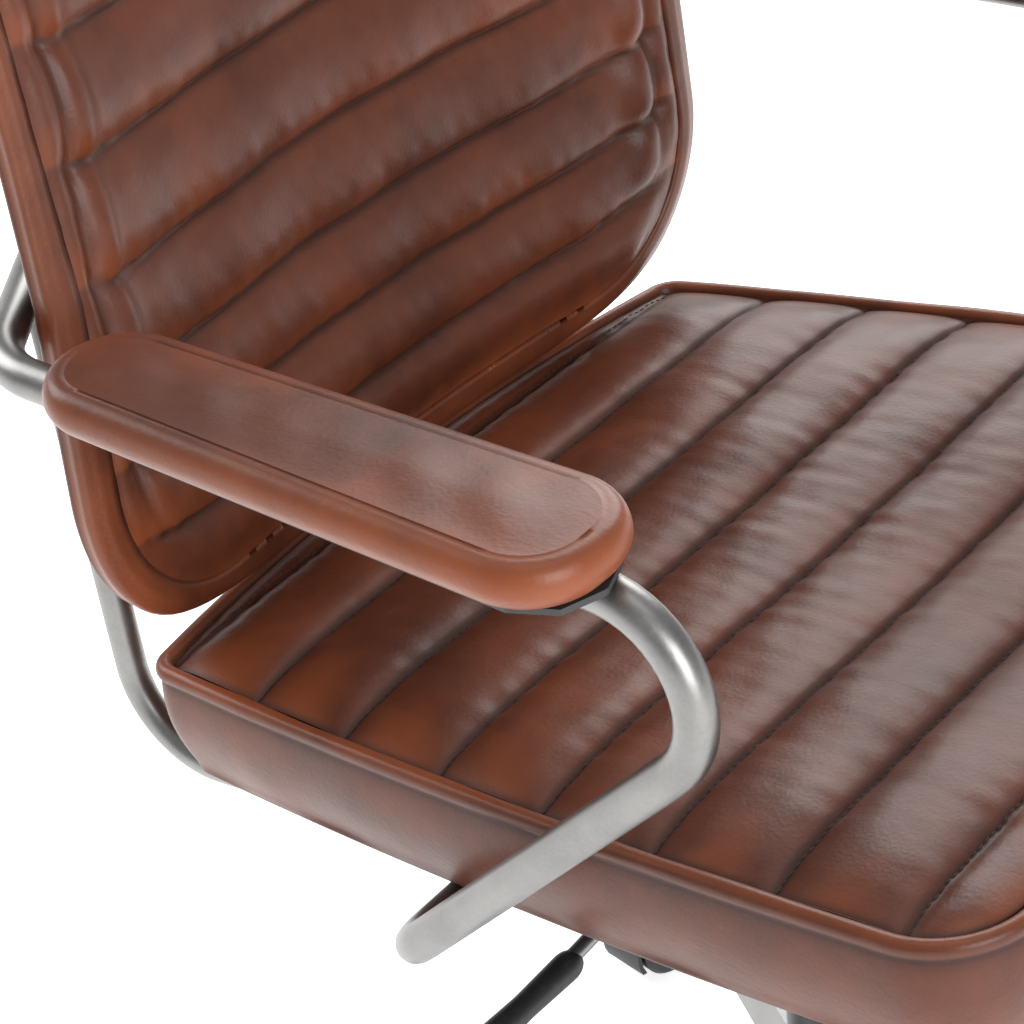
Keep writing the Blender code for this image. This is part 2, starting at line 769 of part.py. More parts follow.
def make_base(chair):
    """Hub, five legs and their caster bosses as one casting."""
    hub = [(0.0, hub_top), (hub_radius * 0.9, hub_top), (hub_radius, hub_top - 0.006),
           (hub_radius, hub_bottom), (0.0, hub_bottom)]
    base = turned("star_base", hub, gunmetal, chair)
    for angle in leg_angles():
        combine(base, tapered_leg(angle, chair), "UNION")
    for angle in leg_angles():
        spot = (leg_reach * math.cos(angle), leg_reach * math.sin(angle), 0.0)
        boss = rod("caster_boss", boss_radius, boss_top, boss_bottom, gunmetal, chair, spot)
        combine(base, boss, "UNION")
        socket = rod("caster_socket", stem_radius + socket_gap, stem_top + touch_gap, 0.0,
                     gunmetal, chair, spot, 12)
        combine(base, socket, "DIFFERENCE")
    bore = rod("hub_bore", outer_tube_radius + socket_gap, hub_top + 0.01, hub_bottom - 0.01,
               gunmetal, chair, segments=24)
    combine(base, bore, "DIFFERENCE")


def wheel_profile():
    """Outer face, tread and inner face of one wheel, turned about its axle."""
    bore = axle_radius + running_gap
    edge = 0.003
    return [(bore, wheel_width), (wheel_radius * 0.45, wheel_width),
            (wheel_radius * 0.75, wheel_width - 0.003), (wheel_radius - edge, wheel_width - 0.001),
            (wheel_radius, wheel_width - edge - 0.001), (wheel_radius, edge),
            (wheel_radius - edge, 0.0), (bore, 0.0)]


def caster_housing(name, parent):
    """A hood over both wheels on a central web, with a boss for the stem."""
    web_half = wheel_hub_gap / 2 - running_gap
    half_width = wheel_hub_gap / 2 + wheel_width - 0.004
    hood_inner = wheel_radius + hood_gap
    hood_outer = hood_inner + hood_wall
    centre = (wheel_trail, 0.0, wheel_radius)
    across = (math.pi / 2, 0, 0)
    hood = rod(name, hood_outer, half_width, -half_width, black_plastic, parent, centre, 24,
               across)
    boss = rod("hood_boss", caster_boss_radius, caster_boss_top, wheel_radius, black_plastic,
               parent, segments=16)
    below = block("hood_below", (-0.05, -0.05, -0.02), (0.09, 0.05, wheel_radius * 0.45),
                  black_plastic, parent)
    ahead = block("hood_ahead", (wheel_trail - 0.05, -0.05, -0.03),
                  (wheel_trail - 0.008, 0.05, wheel_radius * 0.96), black_plastic, parent)
    rooms = []
    for side in (-1, 1):
        room = rod("wheel_room", hood_inner, 0.04, 0.0, black_plastic, parent,
                   (wheel_trail, side * web_half, wheel_radius), 24, (-side * math.pi / 2, 0, 0))
        rooms.append(room)
    axle_hole = rod("axle_hole", axle_radius + running_gap, 0.05, -0.05, steel, parent,
                    centre, 12, across)
    stem_hole = rod("stem_hole", stem_radius + running_gap, 0.1, stem_bottom - touch_gap, steel,
                    parent, segments=12)
    combine(hood, boss, "UNION")
    for helper in (*rooms, below, ahead, axle_hole, stem_hole):
        combine(hood, helper, "DIFFERENCE")
    return hood


def make_casters(chair):
    """Stem, housing, axle and twin wheels at the end of each leg."""
    across = (math.pi / 2, 0, 0)
    half_axle = wheel_hub_gap / 2 + wheel_width
    for index, angle in enumerate(leg_angles(), 1):
        spot = (leg_reach * math.cos(angle), leg_reach * math.sin(angle), 0.0)
        rod(f"caster_stem_{index}", stem_radius, stem_top, stem_bottom, steel, chair, spot, 12)
        swivel = empty(f"caster_axis_{index}", chair, spot, (0, 0, angle + caster_heading))
        caster_housing(f"caster_housing_{index}", swivel)
        axis = empty(f"wheel_axis_{index}", swivel, (wheel_trail, 0, wheel_radius))
        rod(f"caster_axle_{index}", axle_radius, half_axle - 0.001, -half_axle + 0.001, steel,
            axis, segments=12, rotation=across)
        for side, letter in ((-1, "a"), (1, "b")):
            turned(f"caster_wheel_{letter}_{index}", wheel_profile(), black_plastic, axis,
                   (0, side * wheel_hub_gap / 2, 0), 18, closed=True,
                   rotation=(-side * math.pi / 2, 0, 0))


def stand_on_floor(chair):
    """Move the chair so that the centre of its box's underside is at the origin."""
    bpy.context.view_layer.update()
    graph = bpy.context.evaluated_depsgraph_get()
    low = Vector((1e9, 1e9, 1e9))
    high = -low
    for part in parts.objects:
        if part.type == "EMPTY":
            continue
        final = part.evaluated_get(graph)
        shape = final.to_mesh()
        for vert in shape.vertices:
            spot = final.matrix_world @ vert.co
            low = Vector(map(min, low, spot))
            high = Vector(map(max, high, spot))
        final.to_mesh_clear()
    centre = (low + high) / 2
    chair.location = (-centre.x, -centre.y, -low.z)
    bpy.context.view_layer.update()


clear_scene()
parts = new_collection("swivel_office_chair")
cutters = new_collection("cutters")
leather = material("cognac_leather", (0.10, 0.035, 0.018), 0.35, 0.0)
gunmetal = material("gunmetal_tube", (0.30, 0.29, 0.28), 0.35, 1.0)
black_steel = material("black_steel", (0.03, 0.03, 0.03), 0.5, 0.6)
steel = material("zinc_steel", (0.55, 0.55, 0.55), 0.35, 1.0)
chrome = material("chrome", (0.8, 0.8, 0.8), 0.08, 1.0)
black_plastic = material("black_nylon", (0.02, 0.02, 0.02), 0.45, 0.0)
plywood = material("plywood", (0.45, 0.30, 0.17), 0.6, 0.0)
black_cloth = material("black_cloth", (0.015, 0.015, 0.015), 0.9, 0.0)

chair = empty("chair")
swivel = empty("swivel_axis", chair)
lift = empty("lift_axis", swivel)
tilt = empty("tilt_axis", lift, (0, pivot_y, pivot_z))
line = empty("rear_line", tilt, (0, rear_line_to_column - pivot_y, rear_line_height - pivot_z))
slope = empty("seat_slope", line, rotation=(-seat_slope, 0, 0))

make_base(chair)
make_casters(chair)
make_column(chair, swivel, lift)
make_housing(lift)
make_pin_and_spring(lift)
make_controls(lift)
make_seat_plate(slope, lift)
make_seat(slope)
make_frame(line)
make_pads(line)
make_back(line)
stand_on_floor(chair)
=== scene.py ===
"""Swivel office chair: channelled leather seat and back on bent tubes, with padded arms and a star base."""
import json
import math

import bmesh
import bpy
import numpy as np
from mathutils import Matrix, Vector

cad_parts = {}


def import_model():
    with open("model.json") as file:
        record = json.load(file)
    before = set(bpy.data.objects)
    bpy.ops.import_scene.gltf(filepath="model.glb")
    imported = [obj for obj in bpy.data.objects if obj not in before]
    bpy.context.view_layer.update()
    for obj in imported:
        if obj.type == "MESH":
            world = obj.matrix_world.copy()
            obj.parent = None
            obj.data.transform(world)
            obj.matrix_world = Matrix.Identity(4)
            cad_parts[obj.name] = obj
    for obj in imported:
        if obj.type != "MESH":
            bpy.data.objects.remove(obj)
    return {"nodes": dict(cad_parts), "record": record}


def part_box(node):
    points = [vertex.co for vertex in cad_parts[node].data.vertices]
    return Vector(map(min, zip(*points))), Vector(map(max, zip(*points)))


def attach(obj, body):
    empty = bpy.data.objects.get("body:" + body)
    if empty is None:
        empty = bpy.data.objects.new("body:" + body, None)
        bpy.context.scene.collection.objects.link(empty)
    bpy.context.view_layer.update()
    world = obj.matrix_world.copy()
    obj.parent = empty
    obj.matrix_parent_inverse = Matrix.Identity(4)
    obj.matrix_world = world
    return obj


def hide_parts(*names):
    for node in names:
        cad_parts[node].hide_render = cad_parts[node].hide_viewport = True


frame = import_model()

bl_info = {
    "name": "Leather Swivel Chair",
    "version": (1, 0, 0),
    "blender": (4, 5, 0),
    "location": "View3D > Sidebar > Swivel Chair",
    "description": "Upholsters and finishes a swivel office chair around its packed frame",
    "category": "Add Mesh",
}

SEAT_SLOPE = math.radians(5.3)
BACK_RECLINE = math.radians(8.0)
REAR_LINE_UNDER_TOP = 0.463
REAR_LINE_FROM_COLUMN = 0.245
COLUMN_MIDDLE = [sum(pair) / 2 for pair in zip(*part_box("gas_cylinder"))]
REAR_LINE = np.array([0.0, COLUMN_MIDDLE[1] + REAR_LINE_FROM_COLUMN,
                      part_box("back_cushion")[1].z - REAR_LINE_UNDER_TOP])
ARM_RUN_HEIGHT = 0.200
ARM_REAR_X = 0.272
ARM_TOE_OUT = math.tan(math.radians(2.5))
ARM_TUBE_RADIUS = 0.0095
POST_RADIUS = 0.008
SIDES = ((-1, "right"), (1, "left"))
CAMERA_PLACE = (-1.11851, -1.02762, 0.91111)
CAMERA_TURN, CAMERA_TIP, CAMERA_ROLL = (math.radians(angle) for angle in (-49.112, 31.990, -6.794))
CAMERA_LENS = 115.63
LIGHTS = (("window_rear", (2.3, 0.9, 1.5), 58.0, 2.0), ("window_back", (-0.2, 2.2, 1.3), 31.0, 1.4),
          ("fill_front", (-1.0, -2.2, 0.9), 44.0, 1.4), ("ceiling", (-0.2, -0.2, 2.4), 8.0, 1.4))


# Shader maths

class Wire:
    """A number that runs along a shader link. Python arithmetic on it adds Math nodes."""

    def __init__(self, graph, socket):
        self.graph = graph
        self.socket = socket

    def math(self, operation, *others, clamp=False):
        settings = {"operation": operation, "use_clamp": clamp}
        return self.graph.add("Math", settings, [self, *others])[0]

    def __add__(self, other):
        return self.math("ADD", other)

    def __sub__(self, other):
        return self.math("SUBTRACT", other)

    def __rsub__(self, other):
        return self.graph.add("Math", {"operation": "SUBTRACT"}, [other, self])[0]

    def __mul__(self, other):
        return self.math("MULTIPLY", other)

    def __truediv__(self, other):
        return self.math("DIVIDE", other)

    def __rtruediv__(self, other):
        return self.graph.add("Math", {"operation": "DIVIDE"}, [other, self])[0]

    def limited(self):
        """The same number held between 0 and 1."""
        return self.math("ADD", 0.0, clamp=True)

    def between(self, low, high):
        """0 below low, 1 above high and a straight ramp between them."""
        return ((self - low) / (high - low)).limited()

    __radd__ = __add__
    __rmul__ = __mul__


class Finish:
    """A material with one Principled shader, and one method that adds any other node."""

    def __init__(self, name):
        self.material = bpy.data.materials.new(name)
        self.material.use_nodes = True
        self.tree = self.material.node_tree
        self.shader = self.tree.nodes["Principled BSDF"]
        self.place = self.add("TexCoord", {}, {})["Object"]

    def add(self, kind, settings, inputs):
        """Adds a node, sets its settings and then its sockets, and returns its outputs."""
        node = self.tree.nodes.new("ShaderNode" + kind)
        for key, value in settings.items():
            setattr(node, key, value)
        pairs = inputs.items() if isinstance(inputs, dict) else enumerate(inputs)
        for key, value in pairs:
            self.feed(node.inputs[key], value)
        return Outputs(self, node)

    def feed(self, socket, value):
        """Links a wire to a socket, or sets the socket's own value."""
        if isinstance(value, Wire):
            self.tree.links.new(value.socket, socket)
        else:
            socket.default_value = value

    def noise(self, scale, detail=3.0, roughness=0.5, vector=None, distortion=0.0):
        """Fractal noise from 0 to 1, with its features about 1/scale metres apart."""
        inputs = {"Vector": vector or self.place, "Scale": scale, "Detail": detail,
                  "Roughness": roughness, "Distortion": distortion}
        return self.add("TexNoise", {}, inputs)[0]

    def cells(self, scale, feature="F1"):
        """Distance to the nearest of scattered points about 1/scale metres apart."""
        inputs = {"Vector": self.place, "Scale": scale}
        return self.add("TexVoronoi", {"feature": feature}, inputs)["Distance"]

    def stretched(self, scale):
        """The piece's coordinates, scaled along each axis."""
        return self.add("Mapping", {}, {"Vector": self.place, "Scale": scale})[0]

    def mask(self, name):
        """A value that the piece's mesh carries on its points."""
        return self.add("Attribute", {"attribute_name": name}, {})["Fac"]

    def mix(self, share, low, high):
        """Blend of two colours."""
        inputs = {0: share, 6: low if isinstance(low, Wire) else (*low, 1.0),
                  7: high if isinstance(high, Wire) else (*high, 1.0)}
        return self.add("Mix", {"data_type": "RGBA"}, inputs)[2]

    def bump(self, height, distance, strength):
        """A normal tilted by a height given in steps of distance."""
        inputs = {"Height": height, "Distance": distance, "Strength": strength}
        return self.add("Bump", {}, inputs)[0]

    def set(self, **sockets):
        """Sets the Principled shader's sockets; an underscore stands for a space."""
        for key, value in sockets.items():
            if isinstance(value, tuple):
                value = (*value, 1.0)
            self.feed(self.shader.inputs[key.replace("_", " ")], value)
        return self.material


class Outputs:
    """The output sockets of a node, each read as a wire."""

    def __init__(self, graph, node):
        self.graph = graph
        self.node = node

    def __getitem__(self, key):
        return Wire(self.graph, self.node.outputs[key])


# Finishes

def waxed_leather(name, tones, wear_and_highlight_share):
    """Pulled-up waxed hide: cloudy browns, dark in the seams, amber and smooth where it is rubbed and where
    a painted highlight lies on crests, rolled edges and the lower part of each back channel.
    """
    finish = Finish(name)
    seam = finish.mask("seam")
    wear_and_highlight = finish.mask("wear_and_highlight")
    clouds = finish.noise(9.0, 4.0, 0.55, distortion=0.6)
    mottle = finish.noise(46.0, 4.0, 0.6)
    speckle = finish.noise(420.0, 2.0, 0.6)
    tone = (clouds * 0.75 + mottle * 0.35 + speckle * 0.10 - 0.12).between(0.22, 0.78)
    colour = finish.mix(tone, tones.leather_dark, tones.leather_mid)
    # Amber marks wear and also a painted highlight: it lightens crests, rolled edges and the lower part of
    # each back channel.
    amber = (wear_and_highlight * 0.8 + clouds * 1.1 - 0.78).between(0.05, 0.80) * wear_and_highlight_share
    colour = finish.mix(amber, colour, tones.leather_amber)
    soot = finish.noise(24.0, 3.0, 0.5)
    colour = finish.mix((seam * 0.85 + (0.42 - soot).limited() * 0.7).limited() * 0.8, colour,
                        tones.leather_seam)
    pebble = finish.cells(520.0, "SMOOTH_F1")
    pore = finish.noise(1500.0, 2.0, 0.7)
    crease = finish.noise(150.0, 3.0, 0.55, finish.stretched((1.0, 0.45, 1.0)), 0.8)
    gloss = finish.noise(30.0, 3.0, 0.5)
    rough = 0.34 + gloss * 0.14 + seam * 0.18 - wear_and_highlight * 0.05 + pore * 0.05
    normal = finish.bump(pebble * 0.55 + pore * 0.30 + crease * 0.9, 0.00035, 0.55)
    return finish.set(Base_Color=colour, Roughness=rough, Normal=normal, IOR=1.5,
                      Specular_IOR_Level=0.32, Coat_Weight=0.12, Coat_Roughness=0.24)


def satin_gunmetal(tones):
    """Blackened steel rubbed to a satin, with faint marks along it and darker blooms."""
    finish = Finish("satin_gunmetal")
    bloom = finish.noise(28.0, 4.0, 0.6)
    fine = finish.noise(600.0, 2.0, 0.6)
    tone = (bloom * 0.8 + fine * 0.3 - 0.05).between(0.25, 0.8)
    dark = tuple(value * 0.62 for value in tones.steel)
    colour = finish.mix(tone, dark, tones.steel)
    rough = 0.27 + bloom * 0.14 + fine * 0.08
    normal = finish.bump(fine, 0.00006, 0.35)
    return finish.set(Base_Color=colour, Metallic=1.0, Roughness=rough, Normal=normal)


def plain_metal(name, colour, rough, metallic=1.0, grain=900.0):
    """Plated or powder-coated steel, with a fine texture and slight blooms."""
    finish = Finish(name)
    bloom = finish.noise(40.0, 3.0, 0.5)
    fine = finish.noise(grain, 2.0, 0.6)
    darker = tuple(value * 0.75 for value in colour)
    normal = finish.bump(fine, 0.00005, 0.3)
    return finish.set(Base_Color=finish.mix(bloom.between(0.3, 0.7), darker, colour),
                      Metallic=metallic, Roughness=rough + bloom * 0.10 + fine * 0.05,
                      Normal=normal)


def moulded_nylon():
    """Black nylon with a spark-eroded grain, greyer where it is scuffed."""
    finish = Finish("moulded_nylon")
    grain = finish.cells(1100.0)
    scuff = finish.noise(120.0, 4.0, 0.65).between(0.52, 0.75)
    colour = finish.mix(scuff * 0.5, (0.012, 0.012, 0.013), (0.040, 0.040, 0.041))
    return finish.set(Base_Color=colour, Roughness=0.42 + grain * 0.12,
                      Normal=finish.bump(grain, 0.00008, 0.5))


def plywood_dark_as_shadow_gap():
    """Plywood coloured dark brown as a painted shadow, so its bare edge reads as a shadow gap: fine long
    grain over a matt coat.
    """
    finish = Finish("plywood_dark_as_shadow_gap")
    grain = finish.noise(60.0, 4.0, 0.6, finish.stretched((12.0, 1.0, 1.0)))
    # The dark browns are painted shadow: the board's visible edge is coloured to pass for a shadow gap.
    colour = finish.mix(grain.between(0.3, 0.7), (0.022, 0.0085, 0.0055), (0.048, 0.017, 0.010))
    return finish.set(Base_Color=colour, Roughness=0.55 + grain * 0.15,
                      Normal=finish.bump(grain, 0.0002, 0.3))


def dust_cloth():
    """Black spun cloth, pressed in small diamonds."""
    finish = Finish("dust_cloth")
    weave = finish.cells(600.0)
    fibres = finish.noise(1200.0, 3.0, 0.7)
    colour = finish.mix(fibres, (0.008, 0.008, 0.009), (0.035, 0.035, 0.037))
    return finish.set(Base_Color=colour, Roughness=0.85 + fibres * 0.1,
                      Normal=finish.bump(weave + fibres * 0.5, 0.0003, 0.6))


def waxed_thread(tones):
    """Dark brown waxed thread with a twist."""
    finish = Finish("waxed_thread")
    twist = finish.noise(1800.0, 2.0, 0.6)
    colour = finish.mix(twist, tones.leather_seam, tones.leather_dark)
    return finish.set(Base_Color=colour, Roughness=0.5 + twist * 0.2)


# Meshes

def strip_quads(first, second):
    """Quads between two closed loops of point numbers."""
    return np.stack([first, second, np.roll(second, -1), np.roll(first, -1)], axis=1)


def grid_quads(numbers):
    """Quads of a grid of point numbers."""
    return np.stack([numbers[:-1, :-1], numbers[:-1, 1:], numbers[1:, 1:], numbers[1:, :-1]],
                    axis=-1).reshape(-1, 4)


def border(grid):
    """The outer loop of a grid, in order, whatever the grid holds."""
    return np.concatenate([grid[0, :-1], grid[:-1, -1], grid[-1, :0:-1], grid[:0:-1, 0]])


def facing_out(points, faces):
    """The faces, turned over if the volume they enclose comes out negative."""
    a, b, c, d = (points[faces[:, corner]] for corner in range(4))
    volume = np.einsum("ij,ij->i", a, np.cross(b, c)).sum()
    volume += np.einsum("ij,ij->i", a, np.cross(c, d)).sum()
    return faces if volume > 0 else faces[:, ::-1]


def new_piece(name, points, faces, finish, masks=None):
    """A smooth-shaded mesh object at the origin. A quad with a repeated point becomes a triangle."""
    mesh = bpy.data.meshes.new(name)
    faces = facing_out(points, faces)
    slivers = (faces == np.roll(faces, -1, axis=1)).any(axis=1)
    quads = faces[~slivers].tolist()
    triangles = [list(dict.fromkeys(face)) for face in faces[slivers].tolist()]
    mesh.from_pydata(points.tolist(), [], quads + triangles)
    for key, values in (masks or {}).items():
        attribute = mesh.attributes.new(key, "FLOAT", "POINT")
        attribute.data.foreach_set("value", np.asarray(values, np.float32))
    mesh.shade_smooth()
    mesh.materials.append(finish)
    piece = bpy.data.objects.new(name, mesh)
    bpy.context.scene.collection.objects.link(piece)
    return piece


def fitted(piece, body, slot, *nodes):
    """Makes a piece ride on a body and lets it stand for CAD nodes. The slot is not used."""
    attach(piece, body)
    if nodes:
        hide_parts(*nodes)


def swept(name, rings, finish, sharp, ring=False):
    """Quads between neighbouring loops of points. The end loops close as poles, or on each other."""
    points = rings.reshape(-1, 3)
    numbers = np.arange(len(points)).reshape(rings.shape[:2])
    if not ring:
        numbers[0] = numbers[0, 0]
        numbers[-1] = numbers[-1, 0]
    strips = [strip_quads(a, b) for a, b in zip(numbers, np.roll(numbers, -1, axis=0))]
    faces = np.concatenate(strips if ring else strips[:-1])
    used, renumbered = np.unique(faces, return_inverse=True)
    piece = new_piece(name, points[used], renumbered.reshape(faces.shape), finish)
    piece.data.set_sharp_from_angle(angle=math.radians(sharp))
    return piece


def turned(name, profile, finish, place, segments=96, ring=False, flutes=0, depth=0.0):
    """Points (r cos a, r sin a, z) for a profile of (r, z), with r shrunk depth(1 - cos flutes a)/2."""
    profile = np.array(profile, float)
    angle = np.linspace(0, 2 * math.pi, segments, endpoint=False)
    radius = profile[:, :1] - depth * (1 - np.cos(flutes * angle)) / 2 * (profile[:, :1] > depth * 3)
    rings = np.stack([radius * np.cos(angle), radius * np.sin(angle),
                      np.broadcast_to(profile[:, 1:], (len(profile), segments))], axis=-1)
    turn = np.array(place)
    return swept(name, rings @ turn[:3, :3].T + turn[:3, 3], finish, 40, ring)


def rounded_profile(corners, radius, steps=5):
    """A profile whose inner corners are replaced by quadratic curves radius long on each side."""
    corners = [np.array(corner, float) for corner in corners]
    share = np.linspace(0, 1, steps)[:, None]
    out = [corners[0][None]]
    for before, corner, after in zip(corners, corners[1:], corners[2:]):
        to_before = before - corner
        to_after = after - corner
        start = corner + to_before * min(0.45, radius / max(np.linalg.norm(to_before), 1e-9))
        end = corner + to_after * min(0.45, radius / max(np.linalg.norm(to_after), 1e-9))
        out.append((1 - share) ** 2 * start + 2 * share * (1 - share) * corner + share ** 2 * end)
    out.append(corners[-1][None])
    return np.concatenate(out)


def bent_path(corners, radii, steps=16):
    """Straight runs joined by circular arcs of the given radii, as points."""
    corners = [Vector(corner) for corner in corners]
    points = [corners[0]]
    for before, corner, after, radius in zip(corners, corners[1:], corners[2:], radii):
        back = (before - corner).normalized()
        ahead = (after - corner).normalized()
        half = back.angle(ahead) / 2
        centre = corner + (back + ahead).normalized() * (radius / math.sin(half))
        start = corner + back * (radius / math.tan(half)) - centre
        end = corner + ahead * (radius / math.tan(half)) - centre
        swings = [start.slerp(end, step / steps) for step in range(steps + 1)]
        points += [centre + swing * radius / swing.length for swing in swings]
    points.append(corners[-1])
    return np.array(points)


def circles(ahead, reference, sides):
    """Unit circles square to each direction: cos a N + sin a B, with N square to the reference."""
    side = np.cross(ahead, reference)
    side /= np.linalg.norm(side, axis=1)[:, None]
    across = np.cross(ahead, side)
    angle = np.linspace(0, 2 * math.pi, sides, endpoint=False)[None, :, None]
    return np.cos(angle) * side[:, None] + np.sin(angle) * across[:, None]


def carried_tube(name, path, radius, finish):
    """A circle of the radius carried along a path: p + r (cos a N + sin a B), with eased ends."""
    ahead = np.gradient(path, axis=0)
    ahead[1:-1] = path[2:] - path[:-2]
    ahead /= np.linalg.norm(ahead, axis=1)[:, None]
    circle = circles(ahead, (0.5, -0.61, -0.615), 40)
    rings = path[:, None] + radius * circle
    lip = 0.001
    first = path[0] + (radius - lip) * circle[0]
    last = path[-1] + (radius - lip) * circle[-1]
    rings[0] += ahead[0] * lip
    rings[-1] -= ahead[-1] * lip
    poles = np.broadcast_to(path[0], first.shape), np.broadcast_to(path[-1], last.shape)
    rings = np.concatenate([poles[0][None], first[None], rings, last[None], poles[1][None]])
    return swept(name, rings, finish, 50)


def softened(node, finish, width, segments=2):
    """A merged copy of a CAD node with its sharp edges rounded over."""
    source = frame["nodes"][node]
    work = bmesh.new()
    work.from_mesh(source.data)
    bmesh.ops.remove_doubles(work, verts=work.verts, dist=0.00002)
    bmesh.ops.dissolve_limit(work, angle_limit=math.radians(1), verts=work.verts, edges=work.edges)
    mesh = bpy.data.meshes.new(node + "_finished")
    work.to_mesh(mesh)
    work.free()
    mesh.shade_smooth()
    crease = math.radians(32)
    mesh.set_sharp_from_angle(angle=crease)
    mesh.materials.append(finish)
    piece = bpy.data.objects.new(node + "_finished", mesh)
    bpy.context.scene.collection.objects.link(piece)
    bevel = piece.modifiers.new("softened_edges", "BEVEL")
    bevel.width = width
    bevel.segments = segments
    bevel.limit_method = "ANGLE"
    bevel.angle_limit = crease
    bevel.harden_normals = True
    return piece


# Upholstery

class Sides:
    """The loops of points that carry a pad's border from its front to its rear, with their masks."""

    def __init__(self, across, along, place):
        self.loop = np.stack([border(across), border(along)], axis=1)
        self.normal = outward(self.loop)
        self.place = place
        self.rings, self.seam, self.wear_and_highlight = [], [], []

    def ring(self, out, level, seam, wear_and_highlight):
        """Border + out along its normals, set at a level, with the values of its two masks."""
        count = len(self.loop)
        plan = self.loop + self.normal * np.broadcast_to(out, count)[:, None]
        self.rings.append(self.place(plan[:, 0], plan[:, 1], np.broadcast_to(level, count)))
        self.seam.append(np.full(count, seam))
        self.wear_and_highlight.append(np.full(count, wear_and_highlight))


def stuffed(name, front, rear, sides, finish, seam, wear_and_highlight):
    """A closed pad: a front grid with its masks, the loops around its border, and a rear grid."""
    count = front.shape[0] * front.shape[1]
    points = np.concatenate([front.reshape(-1, 3), *sides.rings, rear.reshape(-1, 3)])
    front_numbers = np.arange(count).reshape(front.shape[:2])
    loops = [border(front_numbers)]
    start = count
    for ring in sides.rings:
        loops.append(np.arange(start, start + len(ring)))
        start += len(ring)
    rear_numbers = np.arange(start, start + count).reshape(front.shape[:2])
    loops.append(border(rear_numbers))
    strips = [strip_quads(b, a) for a, b in zip(loops, loops[1:])]
    faces = np.concatenate([grid_quads(front_numbers), *strips, grid_quads(rear_numbers)[:, ::-1]])
    zeros = np.zeros(count)
    masks = {"seam": np.concatenate([seam.ravel(), *sides.seam, zeros]),
             "wear_and_highlight": np.concatenate([wear_and_highlight.ravel(), *sides.wear_and_highlight, zeros])}
    return new_piece(name, points, faces, finish, masks)


def outward(loop):
    """Unit normals of a closed loop of plan points, away from its middle."""
    along = np.roll(loop, -1, axis=0) - np.roll(loop, 1, axis=0)
    normal = np.stack([along[:, 1], -along[:, 0]], axis=1)
    for _ in range(2):
        normal = np.roll(normal, 1, axis=0) + 2 * normal + np.roll(normal, -1, axis=0)
    normal /= np.linalg.norm(normal, axis=1)[:, None]
    if (normal * (loop - loop.mean(axis=0))).sum() < 0:
        normal = -normal
    return normal


def clustered(low, high, count, ends="both"):
    """Values from low to high, closer together towards the ends, or towards one of them."""
    share = np.linspace(0, 1, count)
    if ends == "low":
        share = 1 - np.cos(share * math.pi / 2)
    elif ends == "high":
        share = np.sin(share * math.pi / 2)
    else:
        share = (1 - np.cos(share * math.pi)) / 2
    return low + (high - low) * share


def waves(across, along, lengths, seed):
    """A sum of sine waves of the given lengths in random directions, from about -1 to 1."""
    dice = np.random.default_rng(seed)
    total = np.zeros_like(across)
    for length in lengths:
        turn = dice.uniform(0, math.pi)
        step = across * math.cos(turn) + along * math.sin(turn)
        total += np.sin(2 * math.pi * step / length + dice.uniform(0, 6.28))
    return total / math.sqrt(len(lengths))


def channel_place(position, seams):
    """Share of the way across a channel, distance to the nearest seam and the channel's number."""
    number = np.clip(np.searchsorted(seams, position) - 1, 0, len(seams) - 2)
    low, high = seams[number], seams[number + 1]
    share = np.clip((position - low) / (high - low), 0, 1)
    return share, np.minimum(position - low, high - position), number


def eased(value):
    """Smooth step of a value held between 0 and 1."""
    value = np.clip(value, 0, 1)
    return value * value * (3 - 2 * value)


def corner_cut(distance, radius):
    """r - sqrt(r squared - (r - d) squared): how far a round corner draws a side in near its end."""
    short = np.clip(radius - distance, 0, radius)
    return radius - np.sqrt(radius ** 2 - short ** 2)


def nearest_edge(*distances):
    """A smooth version of the smallest distance."""
    return sum((np.abs(distance) + 1e-5) ** -4 for distance in distances) ** -0.25


